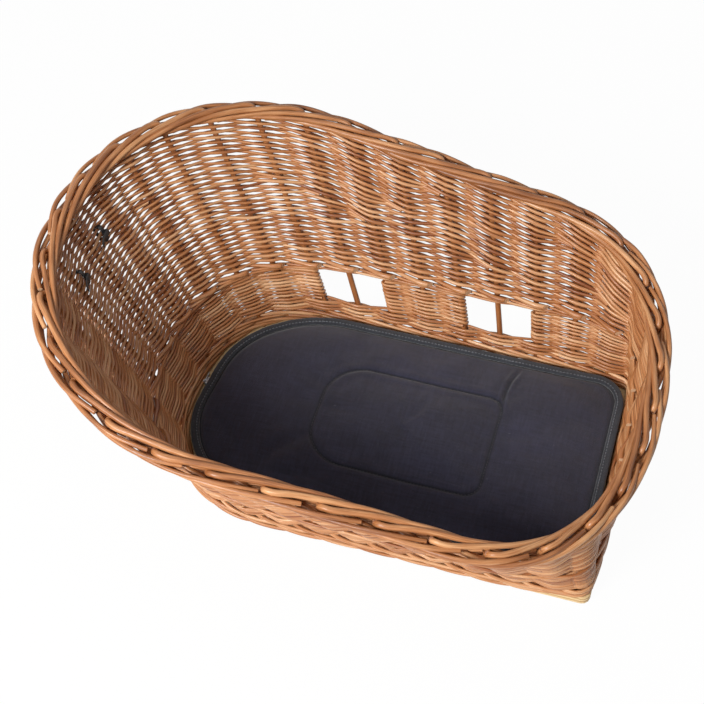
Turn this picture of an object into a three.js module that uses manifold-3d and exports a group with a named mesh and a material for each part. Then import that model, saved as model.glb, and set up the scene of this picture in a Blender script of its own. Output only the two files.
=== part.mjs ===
// A willow dog basket for a bicycle carrier, with a zipped seat cushion that lifts out.
// Millimetres, +Z up. +X is the low square end, -X the tall round end.
// The origin is the middle of the base board's underside, which rests on the carrier.

import * as THREE from 'three';
import { mergeVertices } from 'three/addons/utils/BufferGeometryUtils.js';
import Module from 'manifold-3d';

const wasm = await Module();
wasm.setup();

// Gap kept between pieces that touch.
const SEAT_GAP = 0.3;

// Plan of the stakes where they leave the top of the base board.
const BASE_HALF_WIDTH = 133;
const BASE_ROUND_CENTRE_X = -104;
const BASE_ROUND_REACH = 127;
const BASE_ROUND_POWER = 2.3;
const BASE_SQUARE_END_X = 230;
const BASE_CORNER_RADIUS = 12;

// Plan of the border's centre line.
const RIM_ROUND_CENTRE_X = -133;
const RIM_ROUND_REACH = 213;
const RIM_ROUND_HALF_WIDTH = 226;
const RIM_SQUARE_CENTRE_X = 96;
const RIM_SQUARE_REACH = 157.5;
const RIM_SQUARE_HALF_WIDTH = 216;
const RIM_ROUND_POWER = 2.04;
const RIM_SQUARE_POWER = 2.3;

// Heights of the border's centre line above the underside, at the two ends.
const RIM_TALL_HEIGHT = 268;
const RIM_LOW_HEIGHT = 158.5;

// Plywood base.
const BOARD_THICKNESS = 12;
const BOARD_MARGIN = 5;
const BOARD_CORNER_RADIUS = 9;

// Upright stakes.
const STAKE_COUNT = 34;
const STAKE_DIAMETER = 6.4;
const STAKE_SIDES = 6;
const STAKE_CLEARANCE = 0.3;
const STAKE_TOP_ENTRY = 2;

// Woven layers, from the board up. Thicknesses are level, through the wall.
const WALE_THICKNESS = 15;
const SIDING_THICKNESS = 14;
const UPPER_BAY_THICKNESS = 5.6;
const FOOT_WALE_HEIGHT = 27.6;
const WINDOW_HEIGHT = 34;
const MID_WALE_HEIGHT = 14.4;
const WEAVE_TURN = 2.6;

// Border of turned-down stake ends.
const BORDER_WIDTH = 24.5;
const BORDER_HEIGHT = 17;
const BORDER_SIDES = 10;
const BORDER_GAP = 0.7;

// Windows: the first and last stake of each, counted from the middle of the square end.
const FAR_WINDOWS = [[6, 8], [10, 12]];

// Cushion plan: how far it stays from the foot of the wall. Its round end is a half circle.
const CUSHION_SIDE_GAP = 0.5;
const CUSHION_ROUND_GAP = 5.8;
const CUSHION_CORNER_RADIUS = 34;

// Cushion build-up.
const CUSHION_SHEET = 2;
const CUSHION_SIDE_HEIGHT = 12;
const CUSHION_BULGE = 2.6;
const CUSHION_CROWN = 10;
const TOP_PANEL_THICKNESS = 4;
const FOAM_EASE = 1.2;
const BINDING_WIDTH = 6.5;
const BINDING_HEIGHT = 5;

// Sewn rounded rectangle in the cushion's top panel.
const SEWN_LENGTH = 190;
const SEWN_WIDTH = 127;
const SEWN_CORNER_RADIUS = 28;
const SEWN_CENTRE_X = 6;
const SEWN_CENTRE_Y = -5;
const SEWN_DEPTH = 1.5;
const SEWN_LINE_WIDTH = 4;

// Zip on the round end of the cushion. Angles turn about the round end's centre.
const ZIP_START_DEG = 170;
const ZIP_END_DEG = 242;
const ZIP_HEIGHT = 4;
const ZIP_THICKNESS = 1.1;
const SLIDER_REST_DEG = 177;
const SLIDER_LENGTH = 9;
const SLIDER_PLATE = 1.5;
const SLIDER_CLEARANCE = 0.6;
const PIN_DIAMETER = 1.2;
const PIN_SIDES = 16;
const PULL_LENGTH = 12;
const PULL_HEIGHT = 5;
const PULL_THICKNESS = 1;
const PULL_CLEARANCE = 0.35;

// Cable ties through the tall end's weave. Places are counted in stakes round the wall.
const TIE_PLACES = [16.55, 17.8];
const TIE_DEPTH_BELOW_RIM = 54;
const TIE_LOOP_HEIGHT = 20;
const TIE_WIDTH = 4.6;
const TIE_THICKNESS = 1.2;
const TIE_HEAD = [7, 6, 4.5];
const TIE_TAIL_LENGTH = 13;

// Materials.
const willow = new THREE.MeshStandardMaterial({ color: 0xb5763c, roughness: 0.55, metalness: 0 });
const stakeWillow = new THREE.MeshStandardMaterial({ color: 0x9c6232, roughness: 0.6, metalness: 0 });
const plywood = new THREE.MeshStandardMaterial({ color: 0xd9bd8c, roughness: 0.7, metalness: 0 });
const charcoal = new THREE.MeshStandardMaterial({ color: 0x3b3b43, roughness: 0.9, metalness: 0 });
const tape = new THREE.MeshStandardMaterial({ color: 0x33403f, roughness: 0.85, metalness: 0 });
const foam = new THREE.MeshStandardMaterial({ color: 0xdcd8cc, roughness: 0.95, metalness: 0 });
const zinc = new THREE.MeshStandardMaterial({ color: 0x9a9da2, roughness: 0.3, metalness: 1 });
const nylon = new THREE.MeshStandardMaterial({ color: 0x141414, roughness: 0.45, metalness: 0 });

const TAU = Math.PI * 2;
const UP = new THREE.Vector3(0, 0, 1);

// Solids for cutting and joining.

function solid(geometry) {
  const bare = geometry.clone();
  bare.deleteAttribute('normal');
  bare.deleteAttribute('uv');
  const merged = mergeVertices(bare, 1e-4);
  const mesh = new wasm.Mesh({
    numProp: 3,
    vertProperties: new Float32Array(merged.attributes.position.array),
    triVerts: new Uint32Array(merged.index.array),
  });
  return new wasm.Manifold(mesh);
}

function geometryOf(body) {
  const mesh = body.getMesh();
  const geometry = new THREE.BufferGeometry();
  geometry.setAttribute('position', new THREE.BufferAttribute(mesh.vertProperties, 3));
  geometry.setIndex(new THREE.BufferAttribute(mesh.triVerts, 1));
  return geometry;
}

function cut(geometry, cutters) {
  let body = solid(geometry);
  for (const cutter of cutters) body = body.subtract(solid(cutter));
  return geometryOf(body);
}

function join(geometries) {
  let body = solid(geometries[0]);
  for (const geometry of geometries.slice(1)) body = body.add(solid(geometry));
  return geometryOf(body);
}

// A closed strip of sections: each section is a list of points, joined to the next one.
function skin(sections, closed) {
  const positions = [];
  const index = [];
  const count = sections.length;
  const sides = sections[0].length;
  for (const section of sections) {
    for (const point of section) positions.push(point.x, point.y, point.z);
  }
  const steps = closed ? count : count - 1;
  for (let i = 0; i < steps; i += 1) {
    const a = i * sides;
    const b = ((i + 1) % count) * sides;
    for (let j = 0; j < sides; j += 1) {
      const k = (j + 1) % sides;
      index.push(a + j, b + j, b + k, a + j, b + k, a + k);
    }
  }
  if (!closed) {
    const last = (count - 1) * sides;
    for (let j = 1; j < sides - 1; j += 1) {
      index.push(0, j, j + 1, last, last + j + 1, last + j);
    }
  }
  const geometry = new THREE.BufferGeometry();
  geometry.setAttribute('position', new THREE.Float32BufferAttribute(positions, 3));
  geometry.setIndex(index);
  return geometry;
}

// A stack of rings from an axis point at the start to an axis point at the end.
function lens(firstPoint, rings, lastPoint) {
  const positions = [firstPoint.x, firstPoint.y, firstPoint.z];
  const index = [];
  const sides = rings[0].length;
  for (const ring of rings) {
    for (const point of ring) positions.push(point.x, point.y, point.z);
  }
  const lastIndex = 1 + rings.length * sides;
  positions.push(lastPoint.x, lastPoint.y, lastPoint.z);
  for (let j = 0; j < sides; j += 1) {
    const k = (j + 1) % sides;
    index.push(0, 1 + j, 1 + k);
    for (let i = 0; i < rings.length - 1; i += 1) {
      const a = 1 + i * sides;
      const b = a + sides;
      index.push(a + j, b + j, b + k, a + j, b + k, a + k);
    }
    const end = 1 + (rings.length - 1) * sides;
    index.push(end + j, lastIndex, end + k);
  }
  const geometry = new THREE.BufferGeometry();
  geometry.setAttribute('position', new THREE.Float32BufferAttribute(positions, 3));
  geometry.setIndex(index);
  return geometry;
}

// Plan outlines. Each starts in the middle of the square end and turns towards +Y.

function mirrored(half) {
  const back = half.slice(1, -1).reverse().map((p) => new THREE.Vector2(p.x, -p.y));
  return half.concat(back);
}

function superPower(value, power) {
  return Math.sign(value) * Math.abs(value) ** (2 / power);
}

function dPlan({ squareX, halfWidth, corner, roundX, roundReach, roundPower, steps }) {
  const half = [new THREE.Vector2(squareX, 0)];
  for (let i = 0; i <= 8; i += 1) {
    const a = (i / 8) * Math.PI / 2;
    half.push(new THREE.Vector2(
      squareX - corner + corner * Math.cos(a),
      halfWidth - corner + corner * Math.sin(a),
    ));
  }
  for (let i = 0; i <= steps; i += 1) {
    const a = Math.PI / 2 + (i / steps) * Math.PI / 2;
    half.push(new THREE.Vector2(
      roundX + roundReach * superPower(Math.cos(a), roundPower),
      i === steps ? 0 : halfWidth * superPower(Math.sin(a), roundPower),
    ));
  }
  return mirrored(half);
}

function rimPlan(steps) {
  const half = [];
  for (let i = 0; i <= steps; i += 1) {
    const a = (i / steps) * Math.PI / 2;
    half.push(new THREE.Vector2(
      RIM_SQUARE_CENTRE_X + RIM_SQUARE_REACH * superPower(Math.cos(a), RIM_SQUARE_POWER),
      RIM_SQUARE_HALF_WIDTH * superPower(Math.sin(a), RIM_SQUARE_POWER),
    ));
  }
  for (let i = 0; i <= steps; i += 1) {
    const a = Math.PI / 2 + (i / steps) * Math.PI / 2;
    half.push(new THREE.Vector2(
      RIM_ROUND_CENTRE_X + RIM_ROUND_REACH * superPower(Math.cos(a), RIM_ROUND_POWER),
      i === steps ? 0 : RIM_ROUND_HALF_WIDTH * superPower(Math.sin(a), RIM_ROUND_POWER),
    ));
  }
  return mirrored(half);
}

// A closed outline read by its share of the way round.
class Loop {
  constructor(points) {
    this.points = points.concat([points[0]]);
    this.lengths = [0];
    for (let i = 1; i < this.points.length; i += 1) {
      this.lengths.push(this.lengths[i - 1] + this.points[i].distanceTo(this.points[i - 1]));
    }
    this.length = this.lengths[this.lengths.length - 1];
  }

  at(share) {
    const target = (share - Math.floor(share)) * this.length;
    let i = 1;
    while (this.lengths[i] < target) i += 1;
    const t = (target - this.lengths[i - 1]) / (this.lengths[i] - this.lengths[i - 1]);
    return this.points[i - 1].clone().lerp(this.points[i], t);
  }
}

const baseLoop = new Loop(dPlan({
  squareX: BASE_SQUARE_END_X,
  halfWidth: BASE_HALF_WIDTH,
  corner: BASE_CORNER_RADIUS,
  roundX: BASE_ROUND_CENTRE_X,
  roundReach: BASE_ROUND_REACH,
  roundPower: BASE_ROUND_POWER,
  steps: 48,
}));
const rimLoop = new Loop(rimPlan(96));

// The wall: straight stakes from the board to the border.

const rimTallX = RIM_ROUND_CENTRE_X - RIM_ROUND_REACH;
const rimLowX = RIM_SQUARE_CENTRE_X + RIM_SQUARE_REACH;

function rimPoint(share) {
  const plan = rimLoop.at(share);
  const t = (plan.x - rimTallX) / (rimLowX - rimTallX);
  return new THREE.Vector3(plan.x, plan.y, RIM_TALL_HEIGHT + (RIM_LOW_HEIGHT - RIM_TALL_HEIGHT) * t);
}

function footPoint(share) {
  const plan = baseLoop.at(share);
  return new THREE.Vector3(plan.x, plan.y, BOARD_THICKNESS);
}

function stakeDirection(share) {
  return rimPoint(share).sub(footPoint(share)).normalize();
}

function wallPoint(share, z) {
  const foot = footPoint(share);
  const rim = rimPoint(share);
  return foot.lerp(rim, (z - BOARD_THICKNESS) / (rim.z - BOARD_THICKNESS));
}

// Level outward direction of the wall at a height.
function wallOutward(share, z) {
  const step = 0.003;
  const along = wallPoint(share + step, z).sub(wallPoint(share - step, z));
  return new THREE.Vector3(along.y, -along.x, 0).normalize();
}

// Border axes: outward across it, and up across it.
function borderAxes(share) {
  const step = 0.004;
  const along = rimPoint(share + step).sub(rimPoint(share - step)).normalize();
  const outward = along.clone().cross(stakeDirection(share)).normalize();
  const upward = outward.clone().cross(along).normalize();
  return { outward, upward };
}

// Places round the wall where the woven layers have a section.
const cornerShare = (BASE_HALF_WIDTH - BASE_CORNER_RADIUS) / baseLoop.length;
const cornerTurn = (BASE_CORNER_RADIUS * Math.PI / 2) / baseLoop.length;
const cornerShares = [0.5, 1].map((t) => cornerShare + cornerTurn * t);
const ringShares = [];
for (let i = 0; i < STAKE_COUNT * 2; i += 1) ringShares.push(i / (STAKE_COUNT * 2));
for (const share of cornerShares) ringShares.push(share, 1 - share);
ringShares.sort((a, b) => a - b);

function stakeShare(k) {
  return k / STAKE_COUNT;
}

// A stake's centre line, into the border at the top. Its square-cut lower end leans,
// and the end's lowest edge stays just inside the board's underside.
function stakeLine(k) {
  const share = stakeShare(k);
  const direction = stakeDirection(share);
  const foot = footPoint(share);
  const endDip = (STAKE_DIAMETER / 2) * Math.hypot(direction.x, direction.y);
  const depth = BOARD_THICKNESS - SEAT_GAP - endDip;
  const bottom = foot.clone().addScaledVector(direction, -depth / direction.z);
  const top = rimPoint(share).addScaledVector(direction, STAKE_TOP_ENTRY);
  return { bottom, top, direction };
}

function rod(radius, bottom, top) {
  const length = bottom.distanceTo(top);
  const geometry = new THREE.CylinderGeometry(radius, radius, length, STAKE_SIDES);
  const turn = new THREE.Quaternion().setFromUnitVectors(
    new THREE.Vector3(0, 1, 0),
    top.clone().sub(bottom).normalize(),
  );
  geometry.applyQuaternion(turn);
  const middle = bottom.clone().lerp(top, 0.5);
  geometry.translate(middle.x, middle.y, middle.z);
  return geometry;
}

// The hole that a stake needs, open below and ending just over its top.
function stakeHole(k) {
  const { bottom, top, direction } = stakeLine(k);
  const start = bottom.clone().addScaledVector(direction, -BOARD_THICKNESS);
  const end = top.clone().addScaledVector(direction, STAKE_CLEARANCE);
  return rod(STAKE_DIAMETER / 2 + STAKE_CLEARANCE, start, end);
}

const allStakes = Array.from({ length: STAKE_COUNT }, (unused, k) => k);
const stakeHoles = allStakes.map(stakeHole);

// Layer heights.
const footWaleBottom = BOARD_THICKNESS + SEAT_GAP;
const footWaleTop = BOARD_THICKNESS + FOOT_WALE_HEIGHT;
const windowTop = footWaleTop + WINDOW_HEIGHT;
const midWaleTop = windowTop + MID_WALE_HEIGHT;

// A woven layer between two heights, over a run of places round the wall.
function layerSection(share, bottomZ, topZ, thickness) {
  const section = [];
  const half = thickness / 2;
  for (const [z, side] of [[bottomZ, -1], [bottomZ, 1], [topZ, 1], [topZ, -1]]) {
    section.push(wallPoint(share, z).addScaledVector(wallOutward(share, z), side * half));
  }
  return section;
}

function ringLayer(bottomZ, topZ, thickness) {
  const sections = ringShares.map((share) => layerSection(share, bottomZ, topZ, thickness));
  return cut(skin(sections, true), stakeHoles);
}

// A panel of siding from one stake to another, turned round both of them.
function panelLayer(firstStake, lastStake, bottomZ, topZ, thickness) {
  const middle = (bottomZ + topZ) / 2;
  const around = new THREE.Vector3().subVectors(
    wallPoint(stakeShare(firstStake) + 0.005, middle),
    wallPoint(stakeShare(firstStake) - 0.005, middle),
  ).length() / 0.01;
  const overlap = (STAKE_DIAMETER / 2 + STAKE_CLEARANCE + WEAVE_TURN) / around;
  const start = stakeShare(firstStake) - overlap;
  const end = stakeShare(lastStake) + overlap;
  const inside = [];
  for (const turn of [-1, 0, 1]) {
    for (const share of ringShares) {
      const moved = share + turn;
      if (moved > start + overlap / 2 && moved < end - overlap / 2) inside.push(moved);
    }
  }
  const shares = [start, ...inside, end];
  const sections = shares.map((share) => layerSection(share, bottomZ, topZ, thickness));
  const holes = [];
  for (let k = firstStake; k <= lastStake; k += 1) {
    holes.push(stakeHoles[(k + STAKE_COUNT) % STAKE_COUNT]);
  }
  return cut(skin(sections, false), holes);
}

// Half the upper siding's thickness: full over a stake, where rods pass on both sides of it,
// and least midway between two stakes, where they cross.
function upperHalf(share) {
  const place = share * STAKE_COUNT;
  const fromStake = Math.abs(place - Math.round(place));
  return (SIDING_THICKNESS + (UPPER_BAY_THICKNESS - SIDING_THICKNESS) * 2 * fromStake) / 2;
}

// Upper siding: level at the bottom, square to the stakes under the border at the top.
function upperSection(share) {
  const half = upperHalf(share);
  const bottomZ = midWaleTop + SEAT_GAP;
  const outward = wallOutward(share, bottomZ);
  const axes = borderAxes(share);
  const direction = stakeDirection(share);
  const drop = (BORDER_HEIGHT / 2 + BORDER_GAP) / direction.dot(axes.upward);
  const top = rimPoint(share).addScaledVector(direction, -drop);
  return [
    wallPoint(share, bottomZ).addScaledVector(outward, -half),
    wallPoint(share, bottomZ).addScaledVector(outward, half),
    top.clone().addScaledVector(axes.outward, half),
    top.clone().addScaledVector(axes.outward, -half),
  ];
}

function borderSection(share) {
  const { outward, upward } = borderAxes(share);
  const centre = rimPoint(share);
  const section = [];
  for (let i = 0; i < BORDER_SIDES; i += 1) {
    const a = -Math.PI / 2 + (i / BORDER_SIDES) * TAU;
    section.push(centre.clone()
      .addScaledVector(outward, Math.cos(a) * BORDER_WIDTH / 2)
      .addScaledVector(upward, Math.sin(a) * BORDER_HEIGHT / 2));
  }
  return section;
}

// Base board with a slanted hole for each stake.
function boardGeometry() {
  const plan = dPlan({
    squareX: BASE_SQUARE_END_X + BOARD_MARGIN,
    halfWidth: BASE_HALF_WIDTH + BOARD_MARGIN,
    corner: BOARD_CORNER_RADIUS,
    roundX: BASE_ROUND_CENTRE_X,
    roundReach: BASE_ROUND_REACH + BOARD_MARGIN,
    roundPower: BASE_ROUND_POWER,
    steps: 16,
  });
  const geometry = new THREE.ExtrudeGeometry(new THREE.Shape(plan), {
    depth: BOARD_THICKNESS,
    bevelEnabled: false,
  });
  return cut(geometry, stakeHoles);
}

// Cable tie: a strap looped through the weave, its head and a cut tail inside the wall.
function tieHalfDepth(place) {
  const share = place / STAKE_COUNT;
  const step = 0.003;
  const around = rimPoint(share + step).distanceTo(rimPoint(share - step)) / (2 * step);
  const edges = [-1, 1].map((side) => share + side * TIE_HEAD[0] / around);
  return Math.max(...edges.map(upperHalf)) + SEAT_GAP;
}

function tieFrame(place) {
  const share = place / STAKE_COUNT;
  const up = stakeDirection(share);
  const centre = rimPoint(share).addScaledVector(up, -TIE_DEPTH_BELOW_RIM);
  const along = wallPoint(share + 0.003, centre.z).sub(wallPoint(share - 0.003, centre.z));
  const outward = along.cross(up).normalize();
  const side = up.clone().cross(outward).normalize();
  return new THREE.Matrix4().makeBasis(outward, side, up).setPosition(centre);
}

function box(size, centre) {
  const geometry = new THREE.BoxGeometry(size[0], size[1], size[2]);
  geometry.translate(centre[0], centre[1], centre[2]);
  return geometry;
}

function tieGeometry(place) {
  const halfDepth = tieHalfDepth(place);
  const reach = halfDepth + TIE_THICKNESS / 2;
  const legZ = TIE_LOOP_HEIGHT / 2 - TIE_THICKNESS / 2;
  const depth = 2 * halfDepth + 2 * TIE_THICKNESS;
  const pieces = [
    box([TIE_THICKNESS, TIE_WIDTH, TIE_LOOP_HEIGHT], [-reach, 0, 0]),
    box([TIE_THICKNESS, TIE_WIDTH, TIE_LOOP_HEIGHT], [reach, 0, 0]),
    box([depth, TIE_WIDTH, TIE_THICKNESS], [0, 0, legZ]),
    box([depth, TIE_WIDTH, TIE_THICKNESS], [0, 0, -legZ]),
  ];
  const headX = -reach - TIE_HEAD[2] / 2;
  pieces.push(box([TIE_HEAD[2], TIE_HEAD[0], TIE_HEAD[1]], [headX, 0, 0]));
  const tailX = -reach - TIE_HEAD[2] + TIE_THICKNESS;
  const tailY = TIE_HEAD[0] / 2 + TIE_TAIL_LENGTH / 2 - TIE_THICKNESS;
  pieces.push(box([TIE_THICKNESS, TIE_TAIL_LENGTH, TIE_WIDTH * 0.9], [tailX, tailY, 0]));
  return join(pieces).applyMatrix4(tieFrame(place));
}

function tieSlots(place) {
  const matrix = tieFrame(place);
  const legZ = TIE_LOOP_HEIGHT / 2 - TIE_THICKNESS / 2;
  const size = [SIDING_THICKNESS * 2, TIE_WIDTH + 2 * SEAT_GAP, TIE_THICKNESS + 2 * SEAT_GAP];
  return [legZ, -legZ].map((z) => box(size, [0, 0, z]).applyMatrix4(matrix));
}

// Cushion plan, moved in from its widest outline. One list of places serves every piece.
const cushionHalfWidth = BASE_HALF_WIDTH - WALE_THICKNESS / 2 - CUSHION_SIDE_GAP;
const cushionSquareX = BASE_SQUARE_END_X - WALE_THICKNESS / 2 - CUSHION_SIDE_GAP;
const wallRoundX = BASE_ROUND_CENTRE_X - BASE_ROUND_REACH + WALE_THICKNESS / 2;
const cushionRoundX = wallRoundX + CUSHION_ROUND_GAP + cushionHalfWidth;
const cushionShares = cushionPlaces();

function cushionPoint(place, inset, z) {
  return new THREE.Vector3(
    place.x - place.nx * inset,
    place.y - place.ny * inset,
    z,
  );
}

function cushionPlaces() {
  const corner = CUSHION_CORNER_RADIUS;
  const cornerX = cushionSquareX - corner;
  const cornerY = cushionHalfWidth - corner;
  const half = [{ x: cushionSquareX, y: 0, nx: 1, ny: 0 }];
  for (let i = 0; i <= 4; i += 1) {
    const a = (i / 4) * Math.PI / 2;
    const nx = Math.cos(a);
    const ny = Math.sin(a);
    half.push({ x: cornerX + corner * nx, y: cornerY + corner * ny, nx, ny });
  }
  const runs = 4;
  for (let i = 1; i < runs; i += 1) {
    const x = cornerX + (cushionRoundX - cornerX) * (i / runs);
    half.push({ x, y: cushionHalfWidth, nx: 0, ny: 1 });
  }
  const turns = 12;
  for (let i = 0; i <= turns; i += 1) {
    const a = Math.PI / 2 + (i / turns) * Math.PI / 2;
    const nx = Math.cos(a);
    const ny = i === turns ? 0 : Math.sin(a);
    half.push({
      x: cushionRoundX + cushionHalfWidth * nx,
      y: cushionHalfWidth * ny,
      nx,
      ny,
    });
  }
  const back = half.slice(1, -1).reverse().map((p) => ({ x: p.x, y: -p.y, nx: p.nx, ny: -p.ny }));
  return half.concat(back);
}

// Cushion heights.
const cushionBottom = BOARD_THICKNESS + SEAT_GAP;
const sideBottom = cushionBottom + CUSHION_SHEET + SEAT_GAP;
const sideTop = sideBottom + CUSHION_SIDE_HEIGHT;
const sideMiddle = (sideBottom + sideTop) / 2;
const bindingBottom = sideTop + SEAT_GAP;
const bindingTop = bindingBottom + BINDING_HEIGHT;
const bindingInset = CUSHION_BULGE / 2;
const panelInset = bindingInset + BINDING_WIDTH + SEAT_GAP;
const panelEdgeZ = bindingBottom + BINDING_HEIGHT * 0.6;

function cushionRing(inset, z) {
  return cushionShares.map((place) => cushionPoint(place, inset, z));
}

// Where a ray from the sewn panel's centre through an outline place meets the sewn line.
function sewnPoint(place) {
  const dx = place.x - SEWN_CENTRE_X;
  const dy = place.y - SEWN_CENTRE_Y;
  const length = Math.hypot(dx, dy);
  const ux = dx / length;
  const uy = dy / length;
  const coreX = SEWN_LENGTH / 2 - SEWN_CORNER_RADIUS;
  const coreY = SEWN_WIDTH / 2 - SEWN_CORNER_RADIUS;
  let near = 0;
  let far = SEWN_LENGTH;
  for (let i = 0; i < 40; i += 1) {
    const mid = (near + far) / 2;
    const overX = Math.max(Math.abs(ux * mid) - coreX, 0);
    const overY = Math.max(Math.abs(uy * mid) - coreY, 0);
    if (Math.hypot(overX, overY) < SEWN_CORNER_RADIUS) near = mid;
    else far = mid;
  }
  return new THREE.Vector2(ux * near, uy * near);
}

const sewnOffsets = cushionShares.map(sewnPoint);

function crownZ(spread) {
  return panelEdgeZ + CUSHION_CROWN * (1 - spread ** 3);
}

// A ring on the crown: scale is measured on the sewn line, reach from it to the panel's edge.
function sewnRing(scale, z) {
  return sewnOffsets.map((o) => new THREE.Vector3(
    SEWN_CENTRE_X + o.x * scale,
    SEWN_CENTRE_Y + o.y * scale,
    z,
  ));
}

function reachRing(reach, z) {
  return cushionShares.map((place, i) => {
    const edge = cushionPoint(place, panelInset, z);
    const start = new THREE.Vector3(
      SEWN_CENTRE_X + sewnOffsets[i].x,
      SEWN_CENTRE_Y + sewnOffsets[i].y,
      z,
    );
    return start.lerp(edge, reach);
  });
}

const sewnSpread = 0.5;

function spreadAt(reach) {
  return sewnSpread + (1 - sewnSpread) * reach;
}

function panelGeometry() {
  const grooveIn = 1 - SEWN_LINE_WIDTH / SEWN_WIDTH;
  const grooveOut = SEWN_LINE_WIDTH / SEWN_WIDTH;
  const sewnZ = crownZ(sewnSpread);
  const topCentre = new THREE.Vector3(SEWN_CENTRE_X, SEWN_CENTRE_Y, crownZ(0));
  const top = [
    sewnRing(0.5, crownZ(sewnSpread / 2)),
    sewnRing(grooveIn, sewnZ),
    sewnRing(1, sewnZ - SEWN_DEPTH),
    reachRing(grooveOut, crownZ(spreadAt(grooveOut))),
    reachRing(0.45, crownZ(spreadAt(0.45))),
    reachRing(0.75, crownZ(spreadAt(0.75))),
    reachRing(0.92, crownZ(spreadAt(0.92))),
    reachRing(1, panelEdgeZ),
  ];
  const bottom = panelUnderside(0);
  const bottomCentre = new THREE.Vector3(SEWN_CENTRE_X, SEWN_CENTRE_Y, crownZ(0) - TOP_PANEL_THICKNESS);
  return lens(topCentre, [...top, ...bottom], bottomCentre);
}

// The panel's underside, from its edge to its middle, lowered by a drop.
function panelUnderside(drop) {
  const under = TOP_PANEL_THICKNESS + drop;
  return [
    reachRing(1, panelEdgeZ - CUSHION_SHEET - drop),
    reachRing(0.75, crownZ(spreadAt(0.75)) - under),
    sewnRing(1, crownZ(sewnSpread) - under),
  ];
}

function foamGeometry() {
  const inset = CUSHION_BULGE + CUSHION_SHEET + SEAT_GAP;
  const topCentre = new THREE.Vector3(
    SEWN_CENTRE_X,
    SEWN_CENTRE_Y,
    crownZ(0) - TOP_PANEL_THICKNESS - FOAM_EASE,
  );
  const bottomCentre = new THREE.Vector3(SEWN_CENTRE_X, SEWN_CENTRE_Y, sideBottom);
  const rings = [
    ...panelUnderside(FOAM_EASE).reverse(),
    cushionRing(panelInset, bindingBottom - SEAT_GAP),
    cushionRing(inset, sideTop - SEAT_GAP),
    cushionRing(inset, sideBottom),
  ];
  return lens(topCentre, rings, bottomCentre);
}

function bottomPanelGeometry() {
  const top = new THREE.Vector3(SEWN_CENTRE_X, SEWN_CENTRE_Y, cushionBottom + CUSHION_SHEET);
  const bottom = new THREE.Vector3(SEWN_CENTRE_X, SEWN_CENTRE_Y, cushionBottom);
  const inset = CUSHION_BULGE;
  return lens(top, [cushionRing(inset, top.z), cushionRing(inset, bottom.z)], bottom);
}

// Side band: drawn in at both seams, widest half way up.
function sideSection(place) {
  const inner = CUSHION_BULGE + CUSHION_SHEET;
  return [
    cushionPoint(place, inner, sideBottom),
    cushionPoint(place, CUSHION_BULGE, sideBottom),
    cushionPoint(place, 0, sideMiddle - ZIP_HEIGHT / 2),
    cushionPoint(place, 0, sideMiddle + ZIP_HEIGHT / 2),
    cushionPoint(place, CUSHION_BULGE, sideTop),
    cushionPoint(place, inner, sideTop),
  ];
}

function bindingSection(place) {
  const middle = bindingInset + BINDING_WIDTH / 2;
  const section = [];
  for (let i = 0; i < 8; i += 1) {
    const a = -Math.PI / 2 + (i / 8) * TAU;
    section.push(cushionPoint(
      place,
      middle - Math.cos(a) * BINDING_WIDTH / 2,
      (bindingBottom + bindingTop) / 2 + Math.sin(a) * BINDING_HEIGHT / 2,
    ));
  }
  return section;
}

// Zip chain along the side of the round end.
function roundPlace(degrees) {
  const a = THREE.MathUtils.degToRad(degrees);
  const nx = Math.cos(a);
  const ny = Math.sin(a);
  return {
    x: cushionRoundX + cushionHalfWidth * nx,
    y: cushionHalfWidth * ny,
    nx,
    ny,
  };
}

function zipGeometry() {
  const step = 3;
  const count = Math.round((ZIP_END_DEG - ZIP_START_DEG) / step);
  const sections = [];
  for (let i = 0; i <= count; i += 1) {
    const place = roundPlace(ZIP_START_DEG + (ZIP_END_DEG - ZIP_START_DEG) * (i / count));
    const low = sideMiddle - ZIP_HEIGHT / 2;
    const high = sideMiddle + ZIP_HEIGHT / 2;
    sections.push([
      cushionPoint(place, -SEAT_GAP, low),
      cushionPoint(place, -SEAT_GAP - ZIP_THICKNESS, low),
      cushionPoint(place, -SEAT_GAP - ZIP_THICKNESS, high),
      cushionPoint(place, -SEAT_GAP, high),
    ]);
  }
  return skin(sections, false);
}

// Slider frame: X outward from the cushion, Y along the zip, Z up.
function sliderFrame() {
  const place = roundPlace(SLIDER_REST_DEG);
  const outward = new THREE.Vector3(place.nx, place.ny, 0);
  const along = UP.clone().cross(outward);
  return new THREE.Matrix4()
    .makeBasis(outward, along, UP)
    .setPosition(place.x, place.y, sideMiddle);
}

const sliderInner = SEAT_GAP + ZIP_THICKNESS + SLIDER_CLEARANCE;
const sliderOuter = sliderInner + SLIDER_PLATE;
const sliderHalfHeight = ZIP_HEIGHT / 2 + SLIDER_CLEARANCE + SLIDER_PLATE;
const pinX = sliderOuter + PIN_DIAMETER / 2 + PULL_CLEARANCE + PULL_THICKNESS;
const lugThickness = PIN_DIAMETER;
const lugZ = PULL_HEIGHT / 2 + PULL_CLEARANCE + lugThickness / 2;

function uprightPost(radius, height, centreX, sides) {
  const geometry = new THREE.CylinderGeometry(radius, radius, height, sides);
  geometry.rotateX(Math.PI / 2);
  geometry.translate(centreX, 0, 0);
  return geometry;
}

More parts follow.
